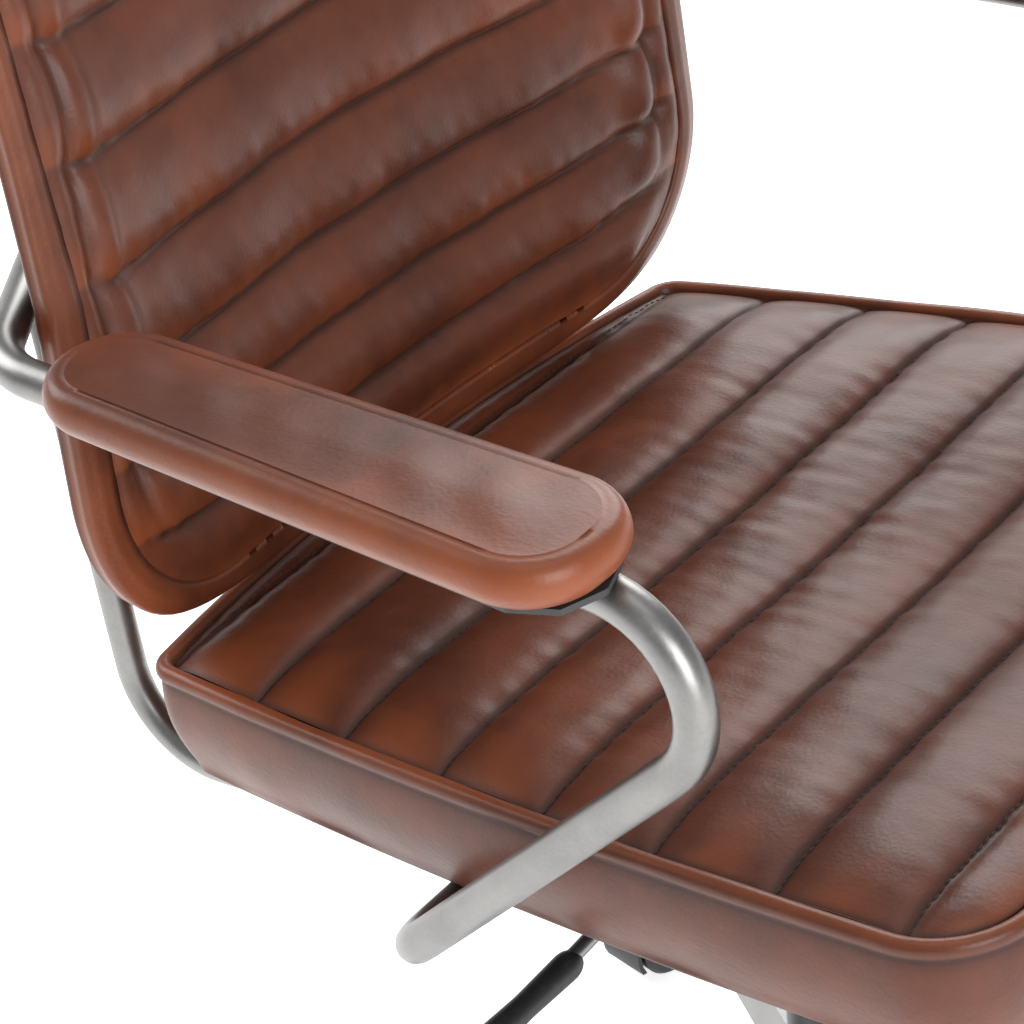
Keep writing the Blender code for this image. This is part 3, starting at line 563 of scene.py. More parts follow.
class SeatShape:
    """The seat in its own slope: x across, t forward from the rear line, n up from the piping."""
    depth = 0.505
    rear_half_width = 0.223
    flare, flare_fade = 0.150, 0.1447
    piping_inset = 0.0105
    piping_radius = 0.0046
    rear_corner = 0.018
    front_corner = 0.050
    rear_bulge = 0.020
    front_bulge = 0.012
    wrap = 0.0624
    tuck = 0.010
    seams = np.array([0.0145 + 0.0613 * k + 0.000334 * k * k for k in range(-1, 9)])

    @staticmethod
    def world(x, t, n):
        """Rear line + x X + t (0, -cos s, sin s) + n (0, sin s, cos s)."""
        sine, cosine = math.sin(SEAT_SLOPE), math.cos(SEAT_SLOPE)
        return np.stack([x, -t * cosine + n * sine, t * sine + n * cosine], axis=-1) + REAR_LINE

    def half_width(self, t):
        """w + f t - g t squared, less the piping, with its corners cut by circles."""
        width = self.rear_half_width + self.flare * t - self.flare_fade * t * t - self.piping_inset
        rear_cut = corner_cut(t - self.piping_inset, self.rear_corner - self.piping_inset)
        front_cut = corner_cut(self.depth - self.piping_inset - t, self.front_corner - self.piping_inset)
        return width - rear_cut - front_cut

    def bowed(self, u, t):
        """The rear and front strips bow out by their bulge times 1 - u squared, fading to their seams."""
        bow = 1 - u ** 2
        rear, front = self.seams[1], self.seams[8]
        back = np.clip((rear - t) / (rear - self.piping_inset), 0, 1)
        ahead = np.clip((t - front) / (self.depth - self.piping_inset - front), 0, 1)
        return t - self.rear_bulge * bow * back + self.front_bulge * bow * ahead

    def height(self, x, t, edge, chair):
        """Seam line + pillow 1 - |2s - 1|^p, both fading to the piping, with a dish, waves and puckers."""
        share, seam_gap, number = channel_place(t, self.seams)
        pillow = 1 - np.abs(2 * share - 1) ** 3.2
        fullness = 1 + 0.16 * np.sin(number * 2.4 + x * 9)
        rise = 0.0075 * (1 - np.exp(-edge / 0.024))
        puff = (0.0022 + (chair.channel_puff - 0.0022) * (1 - np.exp(-edge / 0.020))) * fullness
        dish = 0.0055 * np.exp(-(x / 0.15) ** 2 - ((t - 0.27) / 0.16) ** 2)
        loose = eased(edge / 0.05)
        lived_in = 0.00045 * waves(x, t, (0.11, 0.083, 0.064, 0.051), 3) * loose
        creases = 0.00022 * waves(x, t * 0.5, (0.021, 0.017, 0.0135, 0.011, 0.026), 5)
        creases = creases * loose * (0.4 + np.exp(-(x / 0.12) ** 2 - ((t - 0.26) / 0.13) ** 2))
        pucker = 0.00035 * waves(x, t * 0.1, (0.0125, 0.0092, 0.0155), 8) * np.exp(-seam_gap / 0.010)
        stitch_dip = 0.0011 * np.exp(-(seam_gap / 0.0016) ** 2)
        return 0.001 + rise + puff * pillow - dish + lived_in + creases + pucker - stitch_dip

    def rows(self):
        """Places forward: a few in the end strips and an even share in each channel."""
        low, high = self.piping_inset, self.depth - self.piping_inset
        rows = [clustered(low, self.seams[1], 7, "low")]
        for start, end in zip(self.seams[1:8], self.seams[2:9]):
            rows.append(clustered(start, end, 19)[1:])
        rows.append(clustered(self.seams[8], high, 14, "high")[1:])
        return np.concatenate(rows)

    def grid(self):
        """Across shares u and forward places t of the top's grid."""
        side = clustered(0, 0.16, 14, "low")
        middle = np.linspace(0.16, 1.84, 150)[1:-1]
        u = np.concatenate([side, middle, 2 - side[::-1]]) - 1
        return np.meshgrid(u, self.rows())


def build_seat(chair, finish):
    """Channelled top, a piping roll p + r (-cos a, sin a) around it, plain sides and a flat underside."""
    seat = SeatShape()
    u, t = seat.grid()
    x = u * seat.half_width(t)
    forward = seat.bowed(u, t)
    rear_edge = seat.bowed(u, np.full_like(t, seat.piping_inset))
    front_edge = seat.bowed(u, np.full_like(t, seat.depth - seat.piping_inset))
    edge = nearest_edge((1 - np.abs(u)) * seat.half_width(t), forward - rear_edge,
                        front_edge - forward)
    top = seat.world(x, forward, seat.height(x, forward, edge, chair))
    sides = Sides(x, forward, seat.world)
    ripple = waves(sides.loop[:, 0], sides.loop[:, 1], (0.12, 0.09, 0.07), 21)

    def ring(inset, height, seam, wear_and_highlight):
        sides.ring(seat.piping_inset - inset, height, seam, wear_and_highlight)

    ring(0.0098, -0.0004, 1.0, 0.0)
    # The piping is made lighter along its top: wear plus a painted highlight.
    for turn in np.linspace(math.radians(165), math.radians(-35), 13):
        roll = seat.piping_radius + 0.0002 * ripple
        ring(0.0052 - roll * math.cos(turn), 0.0016 + roll * math.sin(turn),
             0.5 * max(0.0, -math.sin(turn)), max(0.0, math.sin(turn)))
    ring(0.0024, -0.0026, 1.0, 0.0)
    ring(0.0022, -0.0040, 0.8, 0.0)
    # The boxing is made lighter across its middle: wear plus painted sheen.
    for share in np.linspace(0, 1, 16):
        belly = 0.0026 * math.sin(math.pi * min(1.0, share * 1.08)) + 0.0006 * ripple * share
        inset = 0.0020 + (seat.tuck - 0.002) * share ** 1.6 - belly
        ring(inset, -0.0052 - (seat.wrap - 0.0102) * share, 0.5 * math.exp(-share * 14),
             0.25 * math.sin(math.pi * share))
    for turn in np.linspace(0.2, math.pi / 2, 5):
        ring(seat.tuck + 0.005 * (1 - math.cos(turn)), -seat.wrap + 0.005 * (1 - math.sin(turn)), 0.4, 0.2)
    bottom = seat.world(x * 0.98, forward * 0.985 + 0.004, np.full_like(x, -seat.wrap))
    share, seam_gap, _ = channel_place(forward, seat.seams)
    seam = np.maximum(np.exp(-(seam_gap / 0.0030) ** 2), np.exp(-(edge / 0.0025) ** 2))
    # Channel crests, most of all near the edges, are made amber: partly wear and partly painted sheen.
    wear_and_highlight = (1 - np.abs(2 * share - 1) ** 2.0) * (0.25 + 0.75 * np.exp(-edge / 0.035))
    piece = stuffed("seat_upholstery", top, bottom, sides, finish, seam, wear_and_highlight)
    fitted(piece, "seat", "cognac_leather", "seat_cushion", "seat_board")


class BackShape:
    """The back: x across and z up from the rear line; depth grows towards the rear."""
    lift = 0.014
    height = 0.449
    low_half_width = 0.248
    taper = 0.016
    edge_inset = 0.014
    bottom_corner = 0.100
    top_corner = 0.055
    roll_middle, roll_half = 0.0115, 0.0120
    rear_depth = 0.0235
    seams = np.array([0.020, 0.066, 0.108, 0.153, 0.204, 0.262, 0.320, 0.378, 0.436, 0.494])

    def middle(self, x, z):
        """(z - lift) tan r - sag(z) (x / w) squared, with the sag growing over the first 0.2 m."""
        sag = 0.022 + 0.024 * np.clip((z - self.lift) / 0.200, 0, 1)
        return (z - self.lift) * math.tan(BACK_RECLINE) - sag * (x / self.low_half_width) ** 2

    def side(self, z):
        """Half width of the whole back, which narrows evenly towards the top."""
        return self.low_half_width - self.taper * (z - self.lift) / self.height

    def half_width(self, z):
        """Half width inside the rolled edge, with corners cut by circles."""
        low = z - self.lift - self.edge_inset
        high = self.lift + self.height - self.edge_inset - z
        low_cut = corner_cut(low, self.bottom_corner - self.edge_inset)
        return self.side(z) - self.edge_inset - low_cut - corner_cut(high, self.top_corner - self.edge_inset)

    @staticmethod
    def climb(x, z):
        """The height at which a seam that rises towards the sides would cross the middle."""
        return z - 0.016 * (np.abs(x) / 0.225) ** 5

    @staticmethod
    def wander(z):
        """How far the folds and the seam down the side wander, as two sine waves."""
        return 0.003 * np.sin(z * 21 + 0.6) + 0.0015 * np.sin(z * 47)

    def gusset(self, x, z):
        """1 along the sides and 0 towards the middle, the top and the bottom edge."""
        ends = eased((z - self.lift - 0.05) / 0.06) * eased((self.lift + self.height - 0.02 - z) / 0.05)
        return eased((np.abs(x) - 0.165) / 0.035) * ends

    def world(self, x, z, depth):
        """Rear line + (x, middle(x, z) + depth, z)."""
        return np.stack([x, self.middle(x, z) + depth, z], axis=-1) + REAR_LINE

    def front_depth(self, x, z, edge, chair):
        """Pillows 1 - |2s - 1|^p, fuller low down, between climbing seams, and long folds down the sides."""
        share, seam_gap, number = channel_place(self.climb(x, z), self.seams)
        pillow = (1 - np.abs(2 * share - 1) ** 2.6) * (1.22 - 0.44 * share)
        puff = chair.back_puff * (1 + 0.12 * np.sin(number * 1.9 + x * 8))
        inner = eased((edge + 0.002) / 0.030)
        wander = self.wander(z)
        outer_fold = np.exp(-((edge - 0.006 - wander * 0.5) / 0.0050) ** 2)
        inner_fold = np.exp(-((edge - 0.030 - wander) / 0.0090) ** 2)
        seam_line = np.exp(-((edge - 0.0165 - wander) / 0.0024) ** 2)
        folds = 0.0030 * outer_fold + 0.0042 * inner_fold - 0.0030 * seam_line
        folds = self.gusset(x, z) * folds
        creases = 0.00020 * waves(x, z, (0.024, 0.018, 0.013, 0.031), 11)
        lived_in = 0.0008 * waves(x, z, (0.12, 0.09, 0.07), 13) * eased(edge / 0.05)
        pucker = 0.0003 * waves(x, z * 0.1, (0.0125, 0.0095), 17) * np.exp(-seam_gap / 0.009)
        dip = 0.0012 * np.exp(-(seam_gap / 0.0016) ** 2) * inner
        lift = 0.0020 * (1 - np.exp(-edge / 0.020))
        return -(0.0005 + lift + puff * pillow * inner + folds + creases + lived_in + pucker - dip)

    def rows(self):
        """Heights: closer together at both ends, an even share in each channel."""
        low = self.lift + self.edge_inset
        high = self.lift + self.height - self.edge_inset
        rows = [clustered(low, self.seams[1], 12, "low")]
        for start, end in zip(self.seams[1:7], self.seams[2:8]):
            rows.append(clustered(start, end, 17)[1:])
        rows.append(clustered(self.seams[7], high, 22, "high")[1:])
        return np.concatenate(rows)


def build_back(chair, finish):
    """Channelled front, an edge that rolls out by reach sin a and back by -cos a, and a flat rear."""
    back = BackShape()
    side = clustered(0, 0.24, 26, "low")
    u = np.concatenate([side, np.linspace(0.24, 1.76, 120)[1:-1], 2 - side[::-1]]) - 1
    u, z = np.meshgrid(u, back.rows())
    x = u * back.half_width(z)
    edge = nearest_edge((1 - np.abs(u)) * back.half_width(z), z - z.min(), z.max() - z)
    front = back.world(x, z, back.front_depth(x, z, edge, chair))
    sides = Sides(x, z, back.world)
    out, up = np.abs(sides.loop[:, 0]), sides.loop[:, 1]
    lower_side = eased((out - 0.15) / 0.06) * eased((0.30 - up) / 0.12)
    low_middle = eased((0.19 - out) / 0.08) * eased((0.12 - up) / 0.05)
    along_side = eased((out - 0.15) / 0.05)
    reach = 0.0150 + 0.0050 * lower_side + 0.0050 * low_middle
    # The rolled edge is made lighter towards its front: wear plus a painted highlight.
    for share in np.linspace(0, 1, 24)[1:-1]:
        turn = math.pi * share
        folds = 0.0010 * math.sin(share * 21) * along_side
        sides.ring(reach * math.sin(turn) ** 0.8 + folds, back.roll_middle - back.roll_half * math.cos(turn),
                   math.exp(-((share - 0.62) / 0.03) ** 2), 0.45 + 0.35 * math.sin(turn))
    rear = back.world(x, z, np.full_like(x, back.rear_depth))
    share, seam_gap, _ = channel_place(back.climb(x, z), back.seams)
    side_seam = np.exp(-((edge - 0.0165 - back.wander(z)) / 0.0020) ** 2) * back.gusset(x, z) * 0.7
    seam = np.maximum(np.exp(-(seam_gap / 0.0024) ** 2) * eased(edge / 0.02), side_seam)
    # The lower part of each channel is made amber: a painted highlight standing for light on the pillows,
    # with some wear.
    wear_and_highlight = (1 - share) ** 1.2 * (0.55 + 0.45 * np.exp(-edge / 0.05))
    piece = stuffed("back_upholstery", front, rear, sides, finish, seam, wear_and_highlight)
    fitted(piece, "seat", "cognac_leather", "back_cushion")


def build_rear_panel(finish):
    """Leather-covered panel behind the back: a rim rounded by a quarter circle and a border dip."""
    back = BackShape()
    inset, corner = 0.038, 0.060
    outer_face, inner_face = 0.0378, 0.0326
    u, share = np.meshgrid(clustered(-1, 1, 70), clustered(0, 1, 90))
    low, high = back.lift + 0.040, back.lift + back.height - inset
    z = low + (high - low) * share
    half = back.side(z) - inset - corner_cut(z - low, corner) - corner_cut(high - z, 0.019)
    x = u * half
    edge = nearest_edge((1 - np.abs(u)) * half, z - low, high - z)
    depth = outer_face + 0.0010 * (1 - np.exp(-edge / 0.02)) - 0.0007 * np.exp(
        -((edge - 0.010) / 0.0012) ** 2)
    sides = Sides(x, z, back.world)
    # The rim is made lighter, and the border a little: wear plus a painted highlight.
    for turn in np.linspace(0.3, math.pi / 2, 6):
        sides.ring(0.0035 * math.sin(turn), outer_face - 0.0030 * (1 - math.cos(turn)), 0.0, 0.8)
    seam = np.exp(-((edge - 0.010) / 0.0014) ** 2)
    piece = stuffed("back_rear_leather", back.world(x, z, depth),
                    back.world(x, z, np.full_like(x, inner_face)), sides, finish, seam,
                    0.3 * np.exp(-edge / 0.02))
    fitted(piece, "seat", "cognac_leather", "back_rear_panel")


def build_arm_pad(side, label, finish):
    """A long pad: a low crown on top, an edge rolled over by r (sin a, cos a) and a drawn-in underside."""
    length, rear_corner, front_corner, inset = 0.303, 0.0335, 0.0375, 0.0115
    node = f"arm_pad_{label}"
    low_z, top_z = (corner.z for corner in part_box(node))
    u, t = np.meshgrid(clustered(-1, 1, 44), np.concatenate([
        clustered(inset, 0.030, 14, "low"), np.linspace(0.030, length - 0.036, 90)[1:-1],
        clustered(length - 0.036, length - inset, 16, "high")]))
    half = 0.034 + 0.007 * t / length - inset
    for distance, cut in ((t - inset, rear_corner - inset), (length - inset - t, front_corner - inset)):
        half = half - corner_cut(distance, cut) * np.minimum(1, half / cut)
    x = u * half
    edge = nearest_edge((1 - np.abs(u)) * half, t - inset, length - inset - t)

    def world(across, forward, height):
        y = -0.062 - forward
        place = np.stack([side * (arm_x(y) + 0.012 + across), y, height - REAR_LINE[2]], axis=-1)
        return place + REAR_LINE

    crown = 0.0014 * eased(edge / 0.030)
    dents = 0.00035 * waves(x, t, (0.06, 0.045, 0.034), 31) * eased(edge / 0.02)
    sides = Sides(x, t, world)
    middle, tall = (top_z + low_z) / 2 - 0.0012, (top_z - low_z - 0.0030) / 2 * 1.04
    # The rolled side of the pad is made lighter: a painted highlight along the rim, with wear.
    for share in np.linspace(0.0, 1, 22):
        turn = share * math.pi * 0.86
        out = 0.0030 + (inset - 0.0030) * abs(math.sin(min(turn, math.pi / 2))) ** 0.9
        out -= 0.0085 * max(0.0, turn - math.pi / 2) ** 1.6 / 1.6
        height = max(middle + tall * math.cos(turn), low_z + 0.0002)
        sides.ring(out, height, 0.0, 0.50 + 0.35 * math.sin(turn) ** 2)
    # The top is made lighter towards its edge: wear plus a painted highlight.
    piece = stuffed(f"arm_pad_leather_{label}", world(x, t, top_z - 0.0022 + crown + dents),
                    world(x * 0.96, t, np.full_like(x, low_z + 0.0002)), sides, finish,
                    np.zeros_like(x), 0.12 + 0.38 * np.exp(-edge / 0.014))
    fitted(piece, "seat", "cognac_leather", node)


def thread_run(name, centres, along, finish):
    """Short stitches: six-sided beads c + s l/2 T + r circle, narrower at their two ends."""
    length, radius, count = 0.0036, 0.00042, 6
    shares = np.array([-1.0, -0.6, 0.6, 1.0])
    girth = radius * np.array([0.15, 1.0, 1.0, 0.15])
    circle = circles(along, (0.0, 0.21, 0.98), count)
    rings = (centres[:, None, None] + shares[None, :, None, None] * length / 2 * along[:, None, None]
             + girth[None, :, None, None] * circle[:, None])
    points = rings.reshape(-1, 3)
    numbers = np.arange(len(points)).reshape(len(centres), len(shares), count)
    walls = np.stack([numbers[:, :-1], numbers[:, 1:], np.roll(numbers, -1, 2)[:, 1:],
                      np.roll(numbers, -1, 2)[:, :-1]], axis=-1).reshape(-1, 4)
    caps = [numbers[:, 0, [0, 1, 2, 3]], numbers[:, 0, [0, 3, 4, 5]],
            numbers[:, -1, [3, 2, 1, 0]], numbers[:, -1, [5, 4, 3, 0]]]
    return new_piece(name, points, np.concatenate([walls, *caps]), finish)


def build_seat_stitches(chair, finish):
    """Stitches along every channel seam of the seat."""
    seat = SeatShape()
    centres, along = [], []
    for t in seat.seams[1:9]:
        half = seat.half_width(np.array([t]))[0]
        x = np.arange(-half + 0.004, half - 0.004, chair.stitch_pitch)
        edge = half - np.abs(x)
        level = seat.height(x, np.full_like(x, t), edge, chair)
        run = seat.world(x, np.full_like(x, t), level + 0.0003)
        centres.append(run)
        along.append(np.gradient(run, axis=0))
    centres, along = np.concatenate(centres), np.concatenate(along)
    along /= np.linalg.norm(along, axis=1)[:, None]
    fitted(thread_run("seat_stitches", centres, along, finish), "seat", "cognac_leather")


# Frame and running gear

def under_seat(y, radius):
    """-y tan s - (stack + r) / cos s: height of a tube's centre under the seat's underside."""
    stack = 0.0639
    return -y * math.tan(SEAT_SLOPE) - (stack + radius) / math.cos(SEAT_SLOPE)


def arm_x(y):
    """Half distance between the arms' centre planes."""
    return ARM_REAR_X - y * ARM_TOE_OUT


def arm_corners(side):
    """Corners of an arm tube, from the seat plate round to the cross tube, from the rear line."""
    leg_y = -0.200
    leg_z = under_seat(leg_y, ARM_TUBE_RADIUS)
    front_y = leg_y - (ARM_RUN_HEIGHT - leg_z)
    cross_y = (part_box("back_cross_tube")[0].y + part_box("back_cross_tube")[1].y) / 2 - REAR_LINE[1]
    return [(side * 0.0753, leg_y, leg_z), (side * arm_x(leg_y), leg_y, leg_z),
            (side * arm_x(front_y), front_y, ARM_RUN_HEIGHT),
            (side * arm_x(0.003), 0.003, ARM_RUN_HEIGHT), (side * 0.165, cross_y, ARM_RUN_HEIGHT),
            (side * 0.1403, cross_y, ARM_RUN_HEIGHT)]


def build_arm_tubes(finish):
    """The two arm tubes, and the cross tube between them."""
    for side, label in SIDES:
        path = bent_path(arm_corners(side), (0.032, 0.045, 0.050, 0.030)) + REAR_LINE
        piece = carried_tube(f"arm_loop_{label}", path, ARM_TUBE_RADIUS, finish)
        fitted(piece, "seat", "gunmetal_steel", f"arm_tube_{label}")
    end = np.array(arm_corners(1)[5])
    share = np.linspace(-0.9979, 0.9979, 12)[:, None]
    path = end * (0, 1, 1) + share * end * (1, 0, 0) + REAR_LINE
    fitted(carried_tube("cross_tube_smooth", path, ARM_TUBE_RADIUS, finish), "seat",
           "gunmetal_steel", "back_cross_tube")


def build_back_posts(finish):
    """The thinner tubes that drop from the arm tubes and run forward under the seat."""
    for side, label in SIDES:
        low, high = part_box(f"back_post_{label}")
        x = (low.x + high.x) / 2
        rear_y = 0.036
        near, far = arm_corners(side)[3:5]
        share = (abs(near[0]) - abs(x)) / (abs(near[0]) - abs(far[0]))
        top_y = near[1] + (far[1] - near[1]) * share
        end_y = low.y - REAR_LINE[1] + 0.0007
        corners = [(x, top_y, high.z - REAR_LINE[2] - 0.0004),
                   (x, rear_y, under_seat(rear_y, POST_RADIUS)),
                   (x, end_y, under_seat(end_y, POST_RADIUS))]
        piece = carried_tube(f"rear_post_{label}", bent_path(corners, (0.050,)) + REAR_LINE,
                             POST_RADIUS, finish)
        fitted(piece, "seat", "gunmetal_steel", f"back_post_{label}")


def upright(node):
    """A place at the middle of a node's underside, and the node's height."""
    low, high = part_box(node)
    middle = (low + high) / 2
    return Matrix.Translation((middle.x, middle.y, low.z)), high.z - low.z


def build_column(black, chrome, steel):
    """Column tube with a rolled lip and a polished piston rod, both turned, and the thrust bearing softened.
    """
    place, height = upright("column_outer_tube")
    outer = rounded_profile([(0.0236, 0.0), (0.0250, 0.0), (0.0250, height * 0.92), (0.0246, height),
                             (0.0236, height)], 0.0006)
    fitted(turned("column_tube_smooth", outer, black, place, ring=True), "base", "black_steel",
           "column_outer_tube")
    place, height = upright("piston_rod")
    rod = rounded_profile([(0, 0), (0.005, 0), (0.005, height), (0, height)], 0.0008)
    fitted(turned("piston_rod_smooth", rod, chrome, place, 48), "swivel", "chrome_steel",
           "piston_rod")
    piece = softened("thrust_bearing", steel, 0.0006)
    fitted(piece, "swivel", "zinc_steel", "thrust_bearing")


def across_place(origin, heading):
    """A place whose z runs level, square to a heading."""
    return Matrix.Translation(origin) @ Matrix.Rotation(heading, 4, "Z") @ Matrix.Rotation(
        math.pi / 2, 4, "X")


def build_wheels(nylon):
    """Turned twin wheels with a stepped face and a rounded tread, and rounded hoods."""
    for number in range(1, 6):
        boxes = [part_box(f"caster_wheel_{letter}_{number}") for letter in "ab"]
        centres = [(low + high) / 2 for low, high in boxes]
        span = centres[1] - centres[0]
        for centre, letter, sense in zip(centres, "ab", (-1, 1)):
            turn = math.atan2(span.y * sense, span.x * sense) + math.pi / 2
            place = across_place(centre, turn)
            face = rounded_profile([(0.0034, -0.007), (0.0070, -0.007), (0.0078, -0.0058),
                                    (0.0165, -0.0050), (0.0182, -0.0068), (0.0220, -0.0064),
                                    (centre.z, -0.0030), (centre.z, 0.0040), (0.0220, 0.0070),
                                    (0.0034, 0.0070)], 0.0009, 4)
            piece = turned(f"wheel_{letter}_{number}_smooth", face, nylon, place, 72, ring=True)
            fitted(piece, f"wheels_{number}", "black_nylon", f"caster_wheel_{letter}_{number}")
        piece = softened(f"caster_housing_{number}", nylon, 0.0007)
        fitted(piece, f"caster_{number}", "black_nylon", f"caster_housing_{number}")


def build_controls(nylon, gunmetal):
    """Fluted tension knob, and a lever with a moulded grip."""
    place, height = upright("tension_knob")
    profile = rounded_profile([(0, 0), (0.0185, 0), (0.0200, 0.003), (0.0196, 0.026),
                               (0.0150, 0.030), (0.0041, 0.030), (0.0040, height), (0, height)],
                              0.0016)
    piece = turned("tension_knob_fluted", profile, nylon, place, 144, flutes=18, depth=0.0016)
    fitted(piece, "knob", "black_nylon", "tension_knob")
    low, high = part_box("lever_grip")
    place = Matrix.Translation((low.x, (low.y + high.y) / 2, (low.z + high.z) / 2)) @ Matrix.Rotation(
        math.pi / 2, 4, "Y")
    length = high.x - low.x
    grip = rounded_profile([(0, 0), (0.0066, 0), (0.0075, 0.006), (0.0064, length * 0.45),
                            (0.0074, length * 0.92), (0.0046, length), (0, length)], 0.004, 8)
    fitted(turned("lever_grip_moulded", grip, nylon, place, 64), "lever", "black_nylon",
           "lever_grip")
    fitted(softened("height_lever", gunmetal, 0.0004), "lever", "gunmetal_steel", "height_lever")


# Properties

def colour_property(name, description, default):
    """A linear colour the user can change."""
    return bpy.props.FloatVectorProperty(name=name, description=description, default=default,
                                         subtype="COLOR", size=3, min=0.0, max=1.0)


class ChairSizes(bpy.types.PropertyGroup):
    """Sizes of the upholstery that can be set by themselves."""
    channel_puff: bpy.props.FloatProperty(
        name="Seat channel puff", description="Height of each seat channel over its seams",
        default=0.0062, min=0.0, max=0.012, unit="LENGTH")
    back_puff: bpy.props.FloatProperty(
        name="Back channel puff", description="Height of each back channel over its seams",
        default=0.0070, min=0.0, max=0.012, unit="LENGTH")
    stitch_pitch: bpy.props.FloatProperty(
        name="Stitch pitch", description="Distance from one stitch to the next",
        default=0.0052, min=0.002, max=0.02, unit="LENGTH")


class ChairTones(bpy.types.PropertyGroup):
    """Colours of the leather and the steel."""
    leather_dark: colour_property("Leather dark", "Deep brown of the hide", (0.056, 0.0150, 0.0075))
    leather_mid: colour_property("Leather mid", "Main brown of the hide", (0.175, 0.046, 0.0200))
    # The amber tone is also a painted highlight on crests and edges, not only rubbed hide.
    leather_amber: colour_property("Leather amber", "Where the hide is rubbed", (0.300, 0.076, 0.0235))
    leather_seam: colour_property("Leather seam", "Wax and dirt in the seams", (0.012, 0.005, 0.004))
    steel: colour_property("Steel", "Satin gunmetal of the tubes", (0.34, 0.335, 0.325))


def sizes():
    return bpy.context.scene.chair_sizes


def tones():
    return bpy.context.scene.chair_tones


def finish_named(name, maker, *values):
    """The material of that name, made the first time it is asked for."""
    return bpy.data.materials.get(name) or maker(*values)


def hide():
    return finish_named("waxed_hide", waxed_leather, "waxed_hide", tones(), 0.75)


def gunmetal():
    return finish_named("satin_gunmetal", satin_gunmetal, tones())


def black_paint():
    return finish_named("black_powder_coat", plain_metal, "black_powder_coat",
                        (0.035, 0.035, 0.037), 0.36, 0.0, 1400.0)


def zinc():
    return finish_named("zinc_plate", plain_metal, "zinc_plate", (0.58, 0.58, 0.56), 0.26)


def chrome():
    return finish_named("polished_chrome", plain_metal, "polished_chrome", (0.78, 0.78, 0.79), 0.05)


def nylon():
    return finish_named("moulded_nylon", moulded_nylon)


# Operators

class BuildSeat(bpy.types.Operator):
    """Upholster the seat and stitch its channels"""
    bl_idname = "swivel_chair.build_seat"
    bl_label = "Seat"

    def execute(self, context):
        build_seat(sizes(), hide())
        thread = finish_named("waxed_thread", waxed_thread, tones())
        build_seat_stitches(sizes(), thread)
        return {"FINISHED"}


class BuildBack(bpy.types.Operator):
    """Upholster the back and cover its rear panel"""
    bl_idname = "swivel_chair.build_back"
    bl_label = "Back"

    def execute(self, context):
        build_back(sizes(), hide())
        build_rear_panel(hide())
        return {"FINISHED"}


class BuildArmPads(bpy.types.Operator):
    """Wrap both arm pads"""
    bl_idname = "swivel_chair.build_arm_pads"
    bl_label = "Arm pads"

    def execute(self, context):
        leather = finish_named("waxed_hide_arms", waxed_leather, "waxed_hide_arms", tones(), 1.0)
        for side, label in SIDES:
            build_arm_pad(side, label, leather)
        return {"FINISHED"}


class BuildTubes(bpy.types.Operator):
    """Bend the arm tubes, the cross tube and the rear posts"""
    bl_idname = "swivel_chair.build_tubes"
    bl_label = "Tube frame"

    def execute(self, context):
        build_arm_tubes(gunmetal())
        build_back_posts(gunmetal())
        return {"FINISHED"}


class BuildRunningGear(bpy.types.Operator):
    """Finish the base, column, casters and controls"""
    bl_idname = "swivel_chair.build_running_gear"
    bl_label = "Running gear"

    def execute(self, context):
        build_column(black_paint(), chrome(), zinc())
        build_wheels(nylon())
        build_controls(nylon(), gunmetal())
        fitted(softened("star_base", gunmetal(), 0.0022, 3), "base", "gunmetal_steel", "star_base")
        for node in ("mechanism_housing", "seat_plate"):
            body = "lift" if node == "mechanism_housing" else "seat"
            fitted(softened(node, black_paint(), 0.0008), body, "black_steel", node)
        return {"FINISHED"}


class FinishFrame(bpy.types.Operator):
    """Give every remaining piece of the frame its own finish"""
    bl_idname = "swivel_chair.finish_frame"
    bl_label = "Frame finishes"

    def execute(self, context):
        made = {"black_steel": black_paint(), "zinc_steel": zinc(), "chrome_steel": chrome(),
                "black_nylon": nylon(), "gunmetal_steel": gunmetal(), "cognac_leather": hide(),
                "plywood": finish_named("plywood_dark_as_shadow_gap", plywood_dark_as_shadow_gap),
                "black_cloth": finish_named("dust_cloth", dust_cloth)}
        for part in frame["record"]["subparts"]:
            node = frame["nodes"][part["node"]]
            node.data.materials.clear()
            node.data.materials.append(made[part["material_slot"]])
        return {"FINISHED"}


class BuildStage(bpy.types.Operator):
    """Set the pale floor, the soft lights and the camera"""
    bl_idname = "swivel_chair.build_stage"
    bl_label = "Stage"

    def execute(self, context):
        build_floor()
        build_world()
        focus = Vector(REAR_LINE) + Vector((-0.1, -0.15, 0.1))
        for name, offset, power, size in LIGHTS:
            soft_light(name, focus + Vector(offset), focus, power, size)
        build_camera()
        return {"FINISHED"}


def build_floor():
    """A very large pale floor."""
    half = 30.0
    points = np.array([(-half, -half, 0), (half, -half, 0), (half, half, 0), (-half, half, 0)], float)
    mesh = bpy.data.meshes.new("floor")
    mesh.from_pydata(points.tolist(), [], [(0, 1, 2, 3)])
    finish = Finish("pale_floor")
    mesh.materials.append(finish.set(Base_Color=(0.92, 0.92, 0.92), Roughness=0.7,
                                     Emission_Color=(1.0, 1.0, 1.0), Emission_Strength=0.75))
    floor = bpy.data.objects.new("floor", mesh)
    bpy.context.scene.collection.objects.link(floor)


def build_world():
    """Even white surroundings."""
    world = bpy.data.worlds.new("studio")
    world.use_nodes = True
    world.node_tree.nodes["Background"].inputs["Color"].default_value = (1.0, 1.0, 1.0, 1.0)
    world.node_tree.nodes["Background"].inputs["Strength"].default_value = 0.42
    bpy.context.scene.world = world
    bpy.context.scene.view_settings.view_transform = "Standard"


def soft_light(name, place, target, power, size):
    """A square area light aimed at a point."""
    light = bpy.data.lights.new(name, "AREA")
    light.energy = power
    light.size = size
    lamp = bpy.data.objects.new(name, light)
    lamp.location = place
    lamp.rotation_euler = (target - place).to_track_quat("-Z", "Y").to_euler()
    bpy.context.scene.collection.objects.link(lamp)


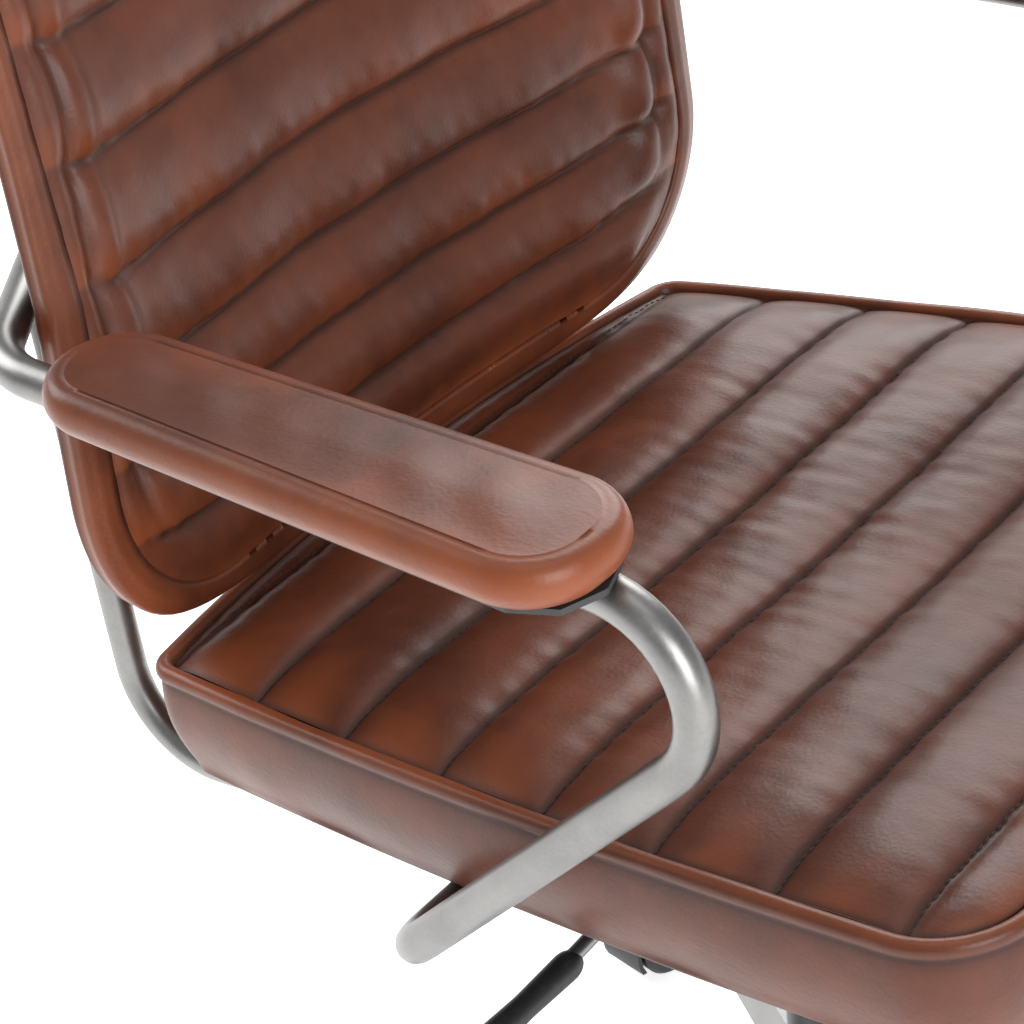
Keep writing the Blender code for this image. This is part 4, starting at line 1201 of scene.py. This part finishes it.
def build_camera():
    """A long lens above the sitter's right arm, looking across the seat."""
    turn, tip, roll = CAMERA_TURN, CAMERA_TIP, CAMERA_ROLL
    back = Vector((math.sin(turn) * math.cos(tip), -math.cos(turn) * math.cos(tip), math.sin(tip)))
    level = Vector((math.cos(turn), math.sin(turn), 0))
    rise = back.cross(level)
    right = math.cos(roll) * level + math.sin(roll) * rise
    up = -math.sin(roll) * level + math.cos(roll) * rise
    lens = bpy.data.cameras.new("camera")
    lens.lens = CAMERA_LENS
    lens.clip_end = 100.0
    camera = bpy.data.objects.new("camera", lens)
    place = Matrix.Translation(Vector(REAR_LINE) + Vector(CAMERA_PLACE))
    camera.matrix_world = place @ Matrix((right, up, back)).transposed().to_4x4()
    bpy.context.scene.collection.objects.link(camera)
    bpy.context.scene.camera = camera


class ChairPanel(bpy.types.Panel):
    """Sidebar panel with the chair's sizes, colours and steps"""
    bl_idname = "VIEW3D_PT_swivel_chair"
    bl_label = "Swivel Chair"
    bl_space_type = "VIEW_3D"
    bl_region_type = "UI"
    bl_category = "Swivel Chair"

    def draw(self, context):
        for group in (context.scene.chair_sizes, context.scene.chair_tones):
            for key in group.bl_rna.properties.keys():
                if key not in ("name", "rna_type"):
                    self.layout.prop(group, key)
        for step in STEPS:
            self.layout.operator(step.bl_idname)


STEPS = (FinishFrame, BuildSeat, BuildBack, BuildArmPads, BuildTubes, BuildRunningGear, BuildStage)
CLASSES = (ChairSizes, ChairTones, *STEPS, ChairPanel)


def register():
    for item in CLASSES:
        bpy.utils.register_class(item)
    bpy.types.Scene.chair_sizes = bpy.props.PointerProperty(type=ChairSizes)
    bpy.types.Scene.chair_tones = bpy.props.PointerProperty(type=ChairTones)


def unregister():
    del bpy.types.Scene.chair_tones
    del bpy.types.Scene.chair_sizes
    for item in reversed(CLASSES):
        bpy.utils.unregister_class(item)


def main():
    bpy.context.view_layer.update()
    register()
    bpy.ops.swivel_chair.finish_frame()
    bpy.ops.swivel_chair.build_seat()
    bpy.ops.swivel_chair.build_back()
    bpy.ops.swivel_chair.build_arm_pads()
    bpy.ops.swivel_chair.build_tubes()
    bpy.ops.swivel_chair.build_running_gear()
    bpy.ops.swivel_chair.build_stage()


if __name__ == "__main__":
    main()
